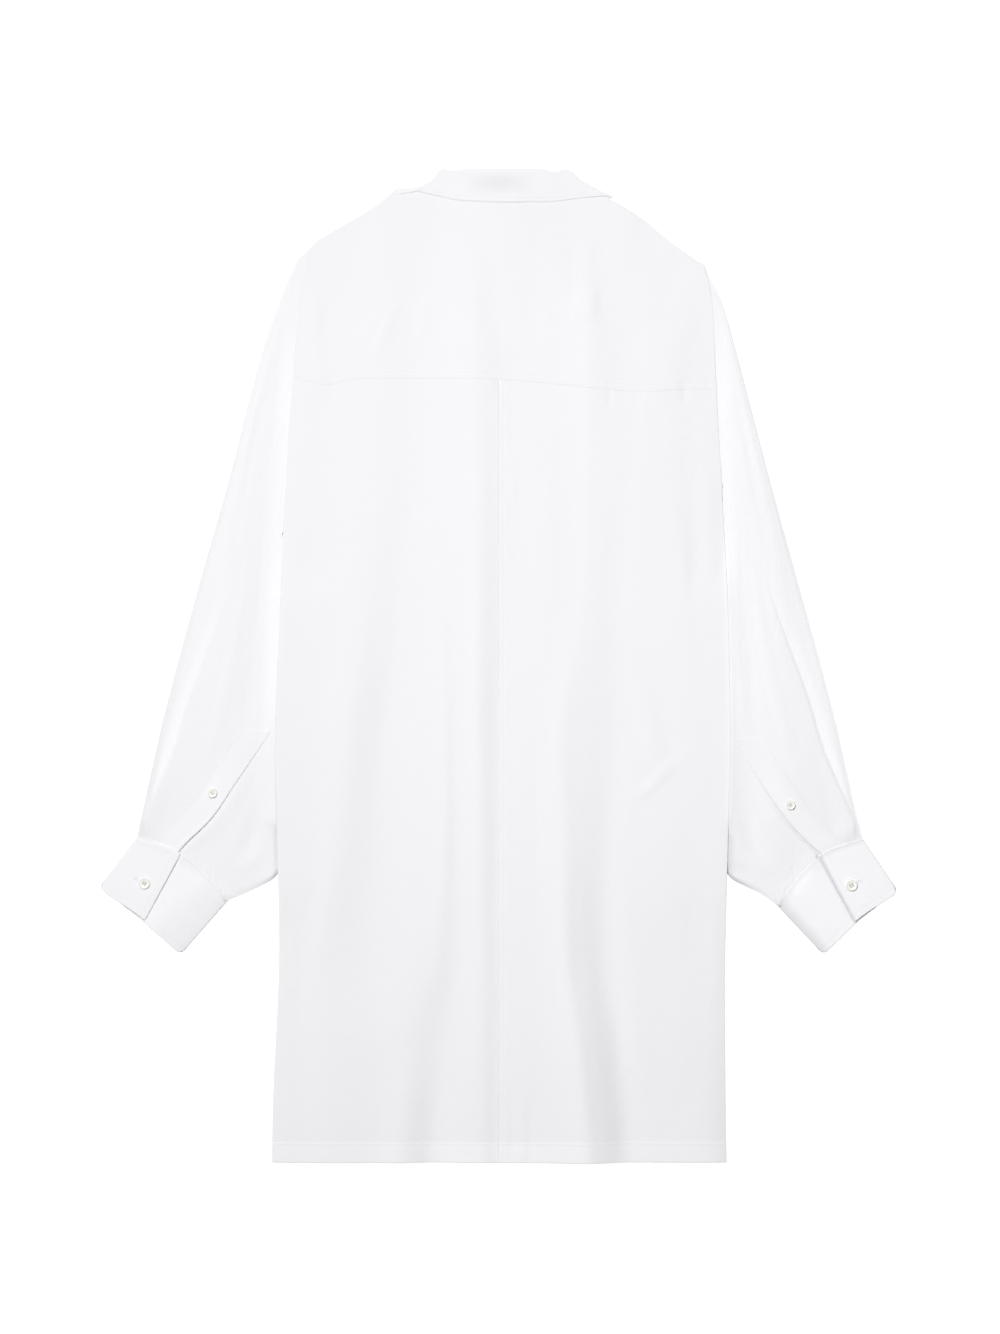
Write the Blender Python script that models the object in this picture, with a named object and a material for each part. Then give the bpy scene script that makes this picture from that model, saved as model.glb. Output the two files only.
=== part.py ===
"""Shirt dress in cotton poplin, laid flat with its back uppermost.

Every cut piece is a cloth wall of one thickness.  All tables are in millimetres:
`down` is measured from the collar fold towards the hem, `out` from the centre
line towards the side seam, and `z` from the surface that the dress lies on.
Left and right are the wearer's, which from the back are also the viewer's.
"""
import math
from collections import namedtuple

import bmesh
import bpy
from mathutils import Vector
from mathutils.bvhtree import BVHTree

# ---- driving dimensions, millimetres ---------------------------------------
MM = 0.001            # Blender works in metres
LENGTH = 992.0        # collar fold to hem
CLOTH = 1.4           # wall of a cut piece
SEAM = 0.3            # gap between two pieces sewn or lying together
AIR = 0.2             # least extra room between the front and the back
CENTRE = 3.0          # the neck and the front opening lie this far to the right
BACK_SEAM = 1.5       # centre-back seam
BAND_HALF = 17.0      # half the width of the front bands
STACK = 2 * CLOTH + SEAM   # two walls lying on each other
BUTTON_WIDE = 11.4    # 18 line shirt button
BUTTON_SMALL = 9.2    # 14 line button of the sleeve placket
BUTTON_THICK = 2.2
FRONT_BUTTONS = 7
FIRST_BUTTON = 150.0  # down to the first front button
BUTTON_STEP = 105.0

# Half width of the body at the armhole and the side seam: down, left, right.
BODY_EDGE = (
    (80, 190.5, 202.5),
    (92, 192.0, 205.0),
    (130, 198.5, 213.5),
    (210, 205.5, 217.5),
    (330, 213.5, 224.0),
    (430, 217.5, 229.0),
    (565, 223.0, 231.5),
    (660, 221.5, 229.5),
    (790, 219.5, 226.5),
    (930, 225.5, 227.0),
    (992, 226.5, 228.0),
)
SHOULDER_TIP = {-1: 80.0, 1: 95.0}     # down to the end of each shoulder

# Upper edge of the yoke and its lower seam, as (x, down).
YOKE_TOP = (
    (-190.5, 80), (-180.5, 70.5), (-146.5, 50.5), (-118, 33), (-108, 24.5), (-100, 21.5),
    (-74, 20.5), (-47, 25.2), (3, 27.0), (53, 25.4), (80, 21.0), (98, 23.5), (112, 30.2),
    (120, 34), (145.5, 50.5), (169.5, 70.5), (198.5, 91), (205, 95),
)
YOKE_SEAM = (
    (-206, 208), (-171, 215), (-148, 210), (-103, 209), (2, 210), (72, 216),
    (107, 220), (152, 222), (177, 220), (218, 219),
)
# Upper edge of a front panel beside the neck, as (out from the centre line, down).
FRONT_NECK = ((17, 92), (30, 89), (44, 81), (57, 67), (67, 49), (72.5, 34), (75.5, 24), (77, 20.8))

# The front rises over the buttons beneath its bands, and over the collar points.
RISE_OVER_BUTTON = BUTTON_THICK + 0.4
RISE_UNDER_BAND = RISE_OVER_BUTTON + CLOTH + SEAM
RISE_FADE = 62.0      # how far from the bands it is flat again
LEAF_RISE = CLOTH + SEAM
LEAF_REACH = (116.0, 36.0, 138.0, 40.0)   # out, its fade, down, its fade

# The body lies over the sleeve below the underarm.
SLEEVE_RISE = STACK + 0.6
UNDERARM = 420.0      # down to the end of the armhole
ARMHOLE_GAP = 1.0     # sleeve to body, enough for both to bend round the curve
TUCK = dict(start=390.0, full=440.0, end=704.0, gone=756.0, reach=43.0, fade=46.0)

# Creases of the back panels, side seam to centre seam.  `x` is the place of a
# crease and `rise` its height over the front, at each station down the back.
STATIONS = (210, 430, 680, 860, 992)
Crease = namedtuple("Crease", "name x rise")
SIDE_CREASES = (      # x is here the distance in from the side seam
    Crease("side", (0, 0, 0, 0, 0), (0.2, 0.2, 0.2, 0.2, 0.2)),
    Crease("roll", (12, 12, 12, 12, 12), (1.0, 1.0, 1.2, 1.6, 2.0)),
    Crease("tuck", (29, 28, 28, 28, 30), (1.3, 0.9, 1.4, 2.5, 3.2)),
    Crease("flat", (52, 50, 48, 50, 52), (2.0, 2.4, 2.4, 3.4, 4.2)),
)
LEFT_CREASES = (
    Crease("ridge_a", (-132, -143, -162, -160, -160), (2.6, 3.6, 3.4, 4.4, 5.0)),
    Crease("valley_a", (-108, -120, -138, -140, -141), (2.2, 1.6, 1.3, 2.8, 4.4)),
    Crease("ridge_b", (-88, -94, -106, -118, -121), (2.8, 4.0, 4.4, 5.0, 5.6)),
    Crease("slope", (-68, -70, -72, -86, -104), (3.0, 4.0, 4.2, 3.4, 2.6)),
    Crease("deep", (-50, -48, -46, -64, -88), (2.8, 3.2, 2.0, 1.0, 0.6)),
    Crease("brow", (-39, -38, -36, -48, -72), (2.8, 3.6, 4.4, 7.5, 9.5)),
    Crease("crown", (-28, -29, -30, -32, -42), (3.0, 4.2, 5.8, 9.0, 12.0)),
    Crease("dip", (-10, -13, -14, -12, -10), (2.2, 2.0, 2.4, 5.4, 8.6)),
    Crease("seam", (BACK_SEAM,) * 5, (2.8, 3.0, 3.4, 6.4, 9.6)),
)
RIGHT_CREASES = (
    Crease("seam", (BACK_SEAM,) * 5, (2.8, 3.0, 3.4, 6.4, 9.6)),
    Crease("flank", (22, 24, 24, 30, 40), (3.0, 3.6, 4.4, 7.4, 10.6)),
    Crease("crown", (48, 54, 50, 66, 84), (2.8, 4.4, 5.8, 9.2, 12.0)),
    Crease("brow", (72, 78, 66, 84, 100), (2.6, 3.6, 3.6, 6.4, 8.4)),
    Crease("deep", (92, 98, 80, 98, 112), (2.4, 1.8, 1.2, 1.0, 0.6)),
    Crease("slope", (110, 116, 98, 114, 128), (2.6, 3.4, 3.8, 4.2, 3.0)),
    Crease("ridge", (134, 140, 130, 142, 150), (2.8, 4.2, 4.6, 5.4, 5.6)),
)
BACK_ROWS = 16
YOKE_ROWS = 5
FRONT_ROWS = 4
FRONT_COLUMNS = (0.0, 0.08, 0.16, 0.22, 0.265, 0.287, 0.32, 0.44, 0.58, 0.68, 0.77, 0.87, 0.945, 1.0)

# Neck: how high the back of the neckline stands, and where it is down again.
NECK_HIGH = 6.5
NECK_HALF = 78.0

# Collar, back centre to centre front.  Middle of the wall; out, down, z.
StandRow = namedtuple("StandRow", "seam_out seam_down seam_z fold_out fold_down fold_z")
STAND = (
    StandRow(0, 26.0, 7.3, 0, 2.6, 7.6),
    StandRow(36, 25.2, 6.9, 34, 2.8, 7.2),
    StandRow(60, 21.6, 5.6, 55, 4.6, 6.0),
    StandRow(72.4, 19.4, 4.2, 65, 9.0, 4.5),
    StandRow(73.6, 24.0, 2.5, 66, 14.0, 2.5),
    StandRow(70.4, 36.0, 2.4, 61, 23.0, 2.4),
    StandRow(55.6, 65.8, 2.4, 46, 43.0, 2.4),
    StandRow(34.0, 85.4, 2.8, 26, 60.0, 2.8),
)
STAND_END = 13.0      # how far each end passes the centre front
STAND_FRONT = (91.0, 66.0)    # down to its seam and its fold at the centre front

LeafRow = namedtuple("LeafRow", "fold_out fold_down edge_out edge_down z_fold z_edge")
LEAF_LEFT = (
    LeafRow(0, 0.0, 0, 33.5, 9.5, 9.3),
    LeafRow(36, 0.0, 40, 31.4, 9.1, 8.9),
    LeafRow(60, 1.2, 71, 24.0, 7.9, 6.6),
    LeafRow(72, 12.0, 100, 19.9, 6.5, 6.1),
    LeafRow(75, 16.0, 108.6, 19.6, 3.4, 3.4),
    LeafRow(74, 19.6, 108.4, 22.4, 0.7, 0.7),
    LeafRow(64, 36.0, 101, 48.0, 0.7, 0.7),
    LeafRow(48, 50.0, 84, 92.0, 0.7, 0.7),
    LeafRow(28, 63.0, 62, 124.0, 0.7, 0.7),
    LeafRow(9, 69.0, 46, 138.0, 0.7, 0.7),
)
LEAF_RIGHT = (
    LeafRow(0, 0.0, 0, 33.5, 9.5, 9.3),
    LeafRow(38, 0.0, 44, 33.0, 9.1, 8.9),
    LeafRow(66, 1.6, 76, 29.5, 7.7, 6.5),
    LeafRow(79, 11.0, 105, 25.0, 6.5, 6.1),
    LeafRow(83, 13.6, 110.0, 24.4, 3.4, 3.4),
    LeafRow(81, 18.6, 110.0, 28.0, 0.7, 0.7),
    LeafRow(70, 36.0, 103, 50.0, 0.7, 0.7),
    LeafRow(50, 50.0, 85, 93.0, 0.7, 0.7),
    LeafRow(28, 63.0, 62, 125.0, 0.7, 0.7),
    LeafRow(9, 69.0, 46, 138.0, 0.7, 0.7),
)

# Sleeves: outer edge as (out, down), and the hidden underarm edge as
# (down, distance in from the side of the body).
SLEEVE_OUTER = {
    -1: ((191.2, 80.5), (200.5, 90), (210.5, 110), (218.5, 130), (232.5, 170), (249.5, 230),
         (269.5, 310), (292.5, 390), (314.5, 470), (335.5, 550), (353.5, 630), (361.5, 668)),
    1: ((205.8, 95.5), (212.5, 110), (222.5, 130), (234.5, 170), (250.5, 230),
        (271.5, 310), (293.5, 390), (315.5, 470), (336.5, 550), (354.5, 630), (364.5, 670)),
}
SLEEVE_INNER = (
    (UNDERARM, -1.0), (450, -2.6), (478, -3.0), (500, 3), (530, 17), (565, 30), (600, 37),
    (640, 36), (672, 20), (690, 4), (703, -4), (715, -17), (723, -33),
)
SLEEVE_RINGS = 12
RING_TOP = (0.06, 0.14, 0.26, 0.4, 0.54, 0.68, 0.8, 0.9)    # shares across the upper layer
RING_LOW = (0.85, 0.6, 0.35, 0.12)                         # and back along the lower one
FOLD_TURN = 1.2       # a fold at a sleeve's edge begins this far in
FOLD_WALL = 3.5       # cloth doubled up in that fold
SLEEVE_PUFF = 3.5     # how far the upper layer stands off the lower
PUFF_FADE = 60.0

# Cuff corners as (out, down): outer fold, end of the overlap, inner fold.
CUFF_SEAM = {-1: ((361.5, 668), (320.5, 683), (270.5, 730)), 1: ((364.5, 670), (322.5, 686), (278.5, 735))}
CUFF_HEM = {-1: ((399.8, 718), (355.5, 752), (318.5, 785)), 1: ((399.8, 722), (359.5, 752), (325.5, 785))}
CUFF_ROWS = 4
OVERLAP = (0.40, 0.52)     # where the upper end stops, at the seam and at the hem
UNDERLAP = (0.16, 0.28)
CUFF_BUTTON = {-1: (353.5, 713), 1: (352.5, 715)}

# Sleeve placket: its edge at the slit, as (out, down), and its width.
PLACKET_EDGE = {-1: ((320.5, 681), (286.5, 648), (264.5, 616), (236, 574)),
                1: ((321.0, 684), (294.5, 658), (274.5, 632), (242, 582))}
PLACKET_WIDE = 27.0
SLEEVE_BUTTON = {-1: (285.5, 623), 1: (291.5, 635)}

SIDES = {-1: "left", 1: "right"}


# ---- curves through short tables --------------------------------------------
def smooth(t):
    """Ease from 0 to 1."""
    t = min(max(t, 0.0), 1.0)
    return t * t * (3 - 2 * t)


def curve(knots, at):
    """Smooth value at `at` through (place, value) knots, level beyond the ends."""
    places = [k[0] for k in knots]
    values = [k[1] for k in knots]
    if at <= places[0]:
        return values[0]
    if at >= places[-1]:
        return values[-1]
    i = max(n for n, p in enumerate(places) if p <= at)
    last = len(knots) - 1

    def tangent(n):
        a, b = max(n - 1, 0), min(n + 1, last)
        return (values[b] - values[a]) / (places[b] - places[a])

    span = places[i + 1] - places[i]
    t = (at - places[i]) / span
    rise = values[i + 1] - values[i]
    m0, m1 = tangent(i) * span, tangent(i + 1) * span
    return values[i] + m0 * t + (3 * rise - 2 * m0 - m1) * t ** 2 + (m0 + m1 - 2 * rise) * t ** 3


def trace(points, t):
    """Point at the fraction `t` of the way along a smooth line through `points`."""
    runs = [0.0]
    for a, b in zip(points, points[1:]):
        runs.append(runs[-1] + math.dist(a, b))
    at = t * runs[-1]
    return tuple(curve([(r, p[n]) for r, p in zip(runs, points)], at) for n in range(len(points[0])))


def spread(rows, steps):
    """A table's rows with `steps` smooth rows for each gap between two of them."""
    last = (len(rows) - 1) * steps
    line = [tuple(row) for row in rows]
    return [tuple(curve([(i * steps, row[n]) for i, row in enumerate(line)], k)
                  for n in range(len(line[0]))) for k in range(last + 1)]


# ---- levels of the layers ---------------------------------------------------
def body_edge(side, down):
    """Half width of the body on one side."""
    column = 1 if side < 0 else 2
    return curve([(row[0], row[column]) for row in BODY_EDGE], down)


def sleeve_lift(x, down):
    """Height of the body over the tucked sleeve."""
    side = -1 if x < 0 else 1
    inboard = body_edge(side, down) - abs(x)
    rise = smooth((down - TUCK["start"]) / (TUCK["full"] - TUCK["start"]))
    fall = 1 - smooth((down - TUCK["end"]) / (TUCK["gone"] - TUCK["end"]))
    across = 1 - smooth((inboard - TUCK["reach"]) / TUCK["fade"])
    return SLEEVE_RISE * rise * fall * across


def leaf_lift(x, down):
    """Height of the front over the collar points beneath it."""
    out, out_fade, low, low_fade = LEAF_REACH
    across = 1 - smooth((abs(x - CENTRE) - out) / out_fade)
    along = 1 - smooth((down - low) / low_fade)
    return LEAF_RISE * across * along


def front_under(x, down, band_rise):
    """Underside of a front panel."""
    over_band = band_rise * (1 - smooth((abs(x - CENTRE) - BAND_HALF) / RISE_FADE))
    return max(over_band, leaf_lift(x, down)) + sleeve_lift(x, down)


def back_floor(x, down):
    """Lowest place for the underside of whatever lies on the front."""
    return front_under(x, down, RISE_UNDER_BAND) + CLOTH + SEAM


def yoke_seam(x):
    return curve(YOKE_SEAM, x)


def neck_level(x):
    """Underside of the yoke along the neckline."""
    out = min(abs(x - CENTRE) / NECK_HALF, 1.0)
    return LEAF_RISE + (NECK_HIGH - LEAF_RISE) * (1 - out ** 4)


# ---- making solids ----------------------------------------------------------
def cloth_material(name, colour, roughness):
    mat = bpy.data.materials.new(name)
    mat.use_nodes = True
    shader = mat.node_tree.nodes["Principled BSDF"]
    shader.inputs["Base Color"].default_value = (*colour, 1.0)
    shader.inputs["Roughness"].default_value = roughness
    shader.inputs["Metallic"].default_value = 0.0
    return mat


def place(x, down, z):
    """A table's place as a point of the model, in metres."""
    return Vector((x, LENGTH / 2 - down, z)) * MM


def add_object(name, bm, colour, roughness, root):
    mesh = bpy.data.meshes.new(name)
    bm.to_mesh(mesh)
    bm.free()
    mesh.materials.append(cloth_material(name, colour, roughness))
    mesh.shade_smooth()
    mesh.set_sharp_from_angle(angle=math.radians(40))
    obj = bpy.data.objects.new(name, mesh)
    obj.parent = root
    bpy.context.scene.collection.objects.link(obj)
    return obj


def sheet(rows):
    """A one-sided quad sheet through rows of (x, down, z)."""
    count_x, count_y = len(rows[0]), len(rows)
    bm = bmesh.new()
    bmesh.ops.create_grid(bm, x_segments=count_x - 1, y_segments=count_y - 1, size=0.5)
    for vert in bm.verts:
        i = round((vert.co.x + 0.5) * (count_x - 1))
        j = round((0.5 - vert.co.y) * (count_y - 1))
        vert.co = place(*rows[j][i])
    return bm


def raise_wall(bm):
    """Close a sheet into a wall by raising a copy of it."""
    made = bmesh.ops.extrude_face_region(bm, geom=bm.faces[:], use_keep_orig=True)
    raised = [g for g in made["geom"] if isinstance(g, bmesh.types.BMVert)]
    bmesh.ops.translate(bm, verts=raised, vec=(0, 0, CLOTH * MM))
    bmesh.ops.recalc_face_normals(bm, faces=bm.faces[:])


def panel(name, rows, colour, root):
    """A cut piece that lies flat: its underside goes through the rows."""
    bm = sheet(rows)
    raise_wall(bm)
    return add_object(name, bm, colour, CLOTH_ROUGH, root)


def wrap(name, rows, colour, root):
    """A cut piece that turns over: the rows are the middle of its wall."""
    bm = sheet(rows)
    bmesh.ops.recalc_face_normals(bm, faces=bm.faces[:])
    obj = add_object(name, bm, colour, CLOTH_ROUGH, root)
    wall = obj.modifiers.new("cloth wall", "SOLIDIFY")
    wall.thickness = CLOTH * MM
    wall.offset = 0.0
    wall.use_quality_normals = True
    return obj


WHITE = (0.86, 0.87, 0.90)
CLOTH_ROUGH = 0.8
PEARL = (0.80, 0.78, 0.72)
PEARL_ROUGH = 0.3


# ---- body --------------------------------------------------------------------
def crease_line(side, down):
    """(x, rise) of every crease of one back panel, centre seam to side seam."""
    table = LEFT_CREASES[::-1] if side < 0 else RIGHT_CREASES
    line = []
    for crease in table:
        line.append((curve(list(zip(STATIONS, crease.x)), down),
                     curve(list(zip(STATIONS, crease.rise)), down)))
    for crease in SIDE_CREASES[::-1]:
        inboard = curve(list(zip(STATIONS, crease.x)), down)
        line.append((side * (body_edge(side, down) - inboard),
                     curve(list(zip(STATIONS, crease.rise)), down)))
    return line


def panel_line(side, down):
    """The creases with a smooth point between each two."""
    line = crease_line(side, down)
    return spread(line, 2)


def make_back(side, root):
    """A back panel, yoke seam to hem."""
    rows = []
    for k in range(BACK_ROWS + 1):
        part = k / BACK_ROWS
        row = []
        for x, rise in panel_line(side, STATIONS[0] + part * (LENGTH - STATIONS[0])):
            top = yoke_seam(x) + SEAM
            down = top + part * (LENGTH - top)
            if abs(x - BACK_SEAM) < 0.01:
                x += side * SEAM / 2
            row.append((x, down, back_floor(x, down) + rise))
        rows.append(row if side > 0 else row[::-1])
    return panel(f"back_{SIDES[side]}", rows, WHITE, root)


def make_yoke(root):
    """The yoke, neckline and shoulders to the yoke seam."""
    left = panel_line(-1, STATIONS[0])[::-1]
    low = left + panel_line(1, STATIONS[0])[1:]
    tips = {side: body_edge(side, SHOULDER_TIP[side]) for side in SIDES}
    rows = []
    for k in range(YOKE_ROWS + 1):
        part = k / YOKE_ROWS
        row = []
        for x_low, rise in low:
            side = -1 if x_low < 0 else 1
            share = abs(x_low) / body_edge(side, STATIONS[0])
            x_top = side * share * tips[side]
            top = curve(YOKE_TOP, x_top)
            down = top + part * (yoke_seam(x_low) - top)
            x = x_top + part * (x_low - x_top)
            if share > 0.999:
                x = side * body_edge(side, down)
            bare = back_floor(x, down)
            neck = max(neck_level(x) - bare, AIR) if abs(x_top - CENTRE) < NECK_HALF else AIR
            z = bare + (1 - smooth(part)) * neck + smooth(part) * rise
            row.append((x, down, z))
        rows.append(row)
    return panel("yoke", rows, WHITE, root)


def front_top(side, x):
    """Upper edge of a front panel: neckline, then shoulder."""
    out = abs(x - CENTRE)
    if out < FRONT_NECK[-1][0]:
        return curve(FRONT_NECK, out)
    return curve(YOKE_TOP, x)


def make_front(side, root):
    """A front panel, shoulder to hem; its inner edge meets its band."""
    band_rise = RISE_UNDER_BAND if side < 0 else RISE_OVER_BUTTON
    inner = CENTRE + side * (BAND_HALF + SEAM)
    tip = side * body_edge(side, SHOULDER_TIP[side])
    rows = []
    for k in range(FRONT_ROWS + BACK_ROWS + 1):
        row = []
        for share in FRONT_COLUMNS:
            x_top = inner + share * (tip - inner)
            top = front_top(side, x_top)
            if k < FRONT_ROWS:
                part = k / FRONT_ROWS
                x_low = inner + share * (side * body_edge(side, STATIONS[0]) - inner)
                x = x_top + part * (x_low - x_top)
                down = top + part * (yoke_seam(x_low) - top)
                if share == 1.0:
                    x = side * body_edge(side, down)
            else:
                part = (k - FRONT_ROWS) / BACK_ROWS
                level = STATIONS[0] + part * (LENGTH - STATIONS[0])
                x = inner + share * (side * body_edge(side, level) - inner)
                seam = yoke_seam(x)
                down = seam + part * (LENGTH - seam)
            row.append((x, down, front_under(x, down, band_rise)))
        rows.append(row if side > 0 else row[::-1])
    return panel(f"front_{SIDES[side]}", rows, WHITE, root)


def make_bands(root):
    """Buttonhole band next to the surface, button band on top of it."""
    top = FRONT_NECK[0][1] + SEAM
    for name, z in (("front_band_over", RISE_OVER_BUTTON), ("front_band_under", RISE_UNDER_BAND)):
        rows = []
        for part in (0.0, 0.33, 0.67, 1.0):
            down = top + part * (LENGTH - top)
            rows.append([(CENTRE + x, down, z) for x in (-BAND_HALF, 0.0, BAND_HALF)])
        panel(name, rows, WHITE, root)


# ---- collar ------------------------------------------------------------------
def stand_end(z):
    """The last two rows of a stand, at and past the centre front."""
    seam, fold = STAND_FRONT
    return (StandRow(14, seam - 0.6, z, 10, fold - 1.5, z),
            StandRow(-STAND_END, seam - 0.6, z, -STAND_END, fold, z))


def make_stand(root):
    """The stand: a band round the neck that laps at the centre front."""
    right = spread(STAND + stand_end(RISE_OVER_BUTTON + CLOTH / 2), 2)
    left = spread(STAND + stand_end(RISE_UNDER_BAND + CLOTH / 2), 2)
    sections = [(-1, row) for row in left[:0:-1]] + [(1, row) for row in right]
    rows = []
    for part in (0.0, 0.5, 1.0):
        line = []
        for side, values in sections:
            row = StandRow(*values)
            x = row.fold_out + part * (row.seam_out - row.fold_out)
            down = row.fold_down + part * (row.seam_down - row.fold_down)
            line.append((CENTRE + side * x, down, row.fold_z + part * (row.seam_z - row.fold_z)))
        rows.append(line)
    return wrap("collar_stand", rows, WHITE, root)


def make_leaf(root):
    """The leaf: turned over the stand, outside the body all round."""
    sections = [(-1, row) for row in spread(LEAF_LEFT, 3)[:0:-1]]
    sections += [(1, row) for row in spread(LEAF_RIGHT, 3)]
    rows = []
    for part in (0.0, 0.33, 0.67, 1.0):
        line = []
        for side, values in sections:
            row = LeafRow(*values)
            x = row.fold_out + part * (row.edge_out - row.fold_out)
            down = row.fold_down + part * (row.edge_down - row.fold_down)
            z = row.z_fold + part * (row.z_edge - row.z_fold)
            line.append((CENTRE + side * x, down, max(z, CLOTH / 2)))
        rows.append(line)
    return wrap("collar_leaf", rows, WHITE, root)


# ---- sleeves and cuffs -----------------------------------------------------
def sleeve_point(side, s, v):
    """Plan of a sleeve: `s` outer edge to underarm, `v` armhole to cuff."""
    tip = SHOULDER_TIP[side] + 0.5

    def armhole(t):
        down = tip + t * (UNDERARM - tip)
        return body_edge(side, down) + ARMHOLE_GAP, down

    def outer(t):
        return trace((armhole(0),) + SLEEVE_OUTER[side][1:], t)

    def inner(t):
        line = [(body_edge(side, down) - inboard, down) for down, inboard in SLEEVE_INNER]
        return trace([armhole(1)] + line[1:] + [CUFF_SEAM[side][2]], t)

    def cuff(t):
        return trace(CUFF_SEAM[side], t)

    point = []
    for n in range(2):
        ends = (1 - v) * armhole(s)[n] + v * cuff(s)[n]
        edges = (1 - s) * outer(v)[n] + s * inner(v)[n]
        corners = ((1 - v) * ((1 - s) * armhole(0)[n] + s * armhole(1)[n])
                   + v * ((1 - s) * cuff(0)[n] + s * cuff(1)[n]))
        point.append(ends + edges - corners)
    return point


def sleeve_puff(side, out, down, edge_distance, v):
    """How far the upper layer stands off, nothing at the armhole and under the body."""
    outboard = out - body_edge(side, down)
    near = smooth(outboard / PUFF_FADE) * smooth(edge_distance / 26.0)
    return SLEEVE_PUFF * near * (1 - 0.8 * smooth((v - 0.8) / 0.2))


def sleeve_ring(side, v, inner):
    """One ring of a sleeve, outside or inside of its wall."""
    a, b = sleeve_point(side, 0.0, v), sleeve_point(side, 1.0, v)
    middle = sleeve_point(side, 0.5, v)
    chord = math.dist(a, middle) + math.dist(middle, b)
    inset = FOLD_WALL / chord if inner else 0.0
    wall = CLOTH if inner else 0.0
    turn = FOLD_TURN / chord
    top = [(s, 1) for s in (turn,) + RING_TOP + (1 - turn,)]
    low = [(s, 0) for s in (1 - turn,) + RING_LOW + (turn,)]
    ring = []
    for s, layer in [(0.0, 0.5)] + top + [(1.0, 0.5)] + low:
        out, down = sleeve_point(side, inset + s * (1 - 2 * inset), v)
        puff = sleeve_puff(side, out, down, min(s, 1 - s) * chord, v)
        lower, upper = wall, STACK + puff - wall
        ring.append((side * out, down, lower + layer * (upper - lower)))
    return ring + ring[:1]


def make_sleeve(side, root):
    """A sleeve: a flattened tube through rings that fan from armhole to cuff."""
    steps = [k / SLEEVE_RINGS for k in range(SLEEVE_RINGS + 1)]
    rows = [sleeve_ring(side, v, inner=False) for v in steps]
    rows += [sleeve_ring(side, v, inner=True) for v in reversed(steps)]
    rows.append(rows[0])
    bm = sheet(rows)
    bmesh.ops.remove_doubles(bm, verts=bm.verts[:], dist=0.01 * MM)
    bmesh.ops.recalc_face_normals(bm, faces=bm.faces[:])
    return add_object(f"sleeve_{SIDES[side]}", bm, WHITE, CLOTH_ROUGH, root)


def cuff_point(side, share, part):
    """Plan of a cuff: `share` outer fold to inner fold, `part` seam to hem."""
    seam = trace(CUFF_SEAM[side], share)
    hem = trace(CUFF_HEM[side], share)
    start = (SEAM + CLOTH / 2) / 64.0
    part = start + part * (1 - start)
    return tuple(a + part * (b - a) for a, b in zip(seam, hem))


def make_cuff(side, root):
    """A cuff: a stiff band wound round, its outer end lapping over its inner end."""
    low, mid, high = CLOTH / 2, 1.5 * CLOTH + SEAM, 2.5 * CLOTH + 2 * SEAM
    turn = 0.01
    rows = []
    for k in range(CUFF_ROWS + 1):
        part = k / CUFF_ROWS
        over = OVERLAP[0] + part * (OVERLAP[1] - OVERLAP[0])
        under = UNDERLAP[0] + part * (UNDERLAP[1] - UNDERLAP[0])
        path = [(under, mid), (under + 0.2, mid), (0.7, mid + 0.4), (0.9, mid + 0.3), (1 - turn, mid),
                (1.0, (low + mid) / 2), (1 - turn, low), (0.75, low), (0.5, low), (0.25, low),
                (turn, low), (-0.006, (low + high) / 2), (turn, high), (0.1, high + 0.2),
                (over * 0.6, high + 0.2), (over, high)]
        line = []
        for share, z in path:
            out, down = cuff_point(side, share, part)
            line.append((side * out, down, z))
        rows.append(line)
    return wrap(f"cuff_{SIDES[side]}", rows, WHITE, root)


def surface_above(obj, x, down):
    """Height of a finished piece's upper face at one place, in millimetres."""
    graph = bpy.context.evaluated_depsgraph_get()
    tree = BVHTree.FromObject(obj, graph)
    point = place(x, down, 60.0)
    hit = tree.ray_cast(point, Vector((0, 0, -1)))[0]
    return hit.z / MM if hit else None


def make_sleeve_placket(side, root, sleeve):
    """The placket strip, laid on the sleeve from its own points."""
    rows = []
    for k in range(8):
        part = k / 7
        here = trace(PLACKET_EDGE[side], part)
        ahead = trace(PLACKET_EDGE[side], min(part + 0.02, 1.0))
        behind = trace(PLACKET_EDGE[side], max(part - 0.02, 0.0))
        along = (Vector(ahead) - Vector(behind)).normalized()
        across = Vector((-along.y, along.x))
        line = []
        for j in range(4):
            spot = Vector(here) + across * (j / 3 * PLACKET_WIDE)
            x, down = side * spot.x, spot.y
            line.append((x, down, surface_above(sleeve, x, down) + 2 * SEAM))
        rows.append(line)
    return panel(f"sleeve_placket_{SIDES[side]}", rows, WHITE, root)


# ---- buttons ---------------------------------------------------------------
def make_button(name, x, down, z, width, root, rim_up=True):
    """A turned button with a raised rim and a dished middle."""
    radius = width / 2
    profile = ((0.0, 0.0), (radius * 0.8, 0.0), (radius, 0.7), (radius * 0.92, BUTTON_THICK),
               (radius * 0.72, BUTTON_THICK), (radius * 0.5, BUTTON_THICK - 0.6), (0.0, BUTTON_THICK - 0.6))
    if not rim_up:
        profile = tuple((r, BUTTON_THICK - h) for r, h in profile)
    bm = bmesh.new()
    verts = [bm.verts.new((r * MM, 0, h * MM)) for r, h in profile]
    edges = [bm.edges.new(pair) for pair in zip(verts, verts[1:])]
    bmesh.ops.spin(bm, geom=verts + edges, cent=(0, 0, 0), axis=(0, 0, 1), dvec=(0, 0, 0),
                   angle=2 * math.pi, steps=12, use_merge=True)
    bmesh.ops.remove_doubles(bm, verts=bm.verts[:], dist=0.01 * MM)
    bmesh.ops.recalc_face_normals(bm, faces=bm.faces[:])
    obj = add_object(name, bm, PEARL, PEARL_ROUGH, root)
    obj.location = place(x, down, z)
    return obj


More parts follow.
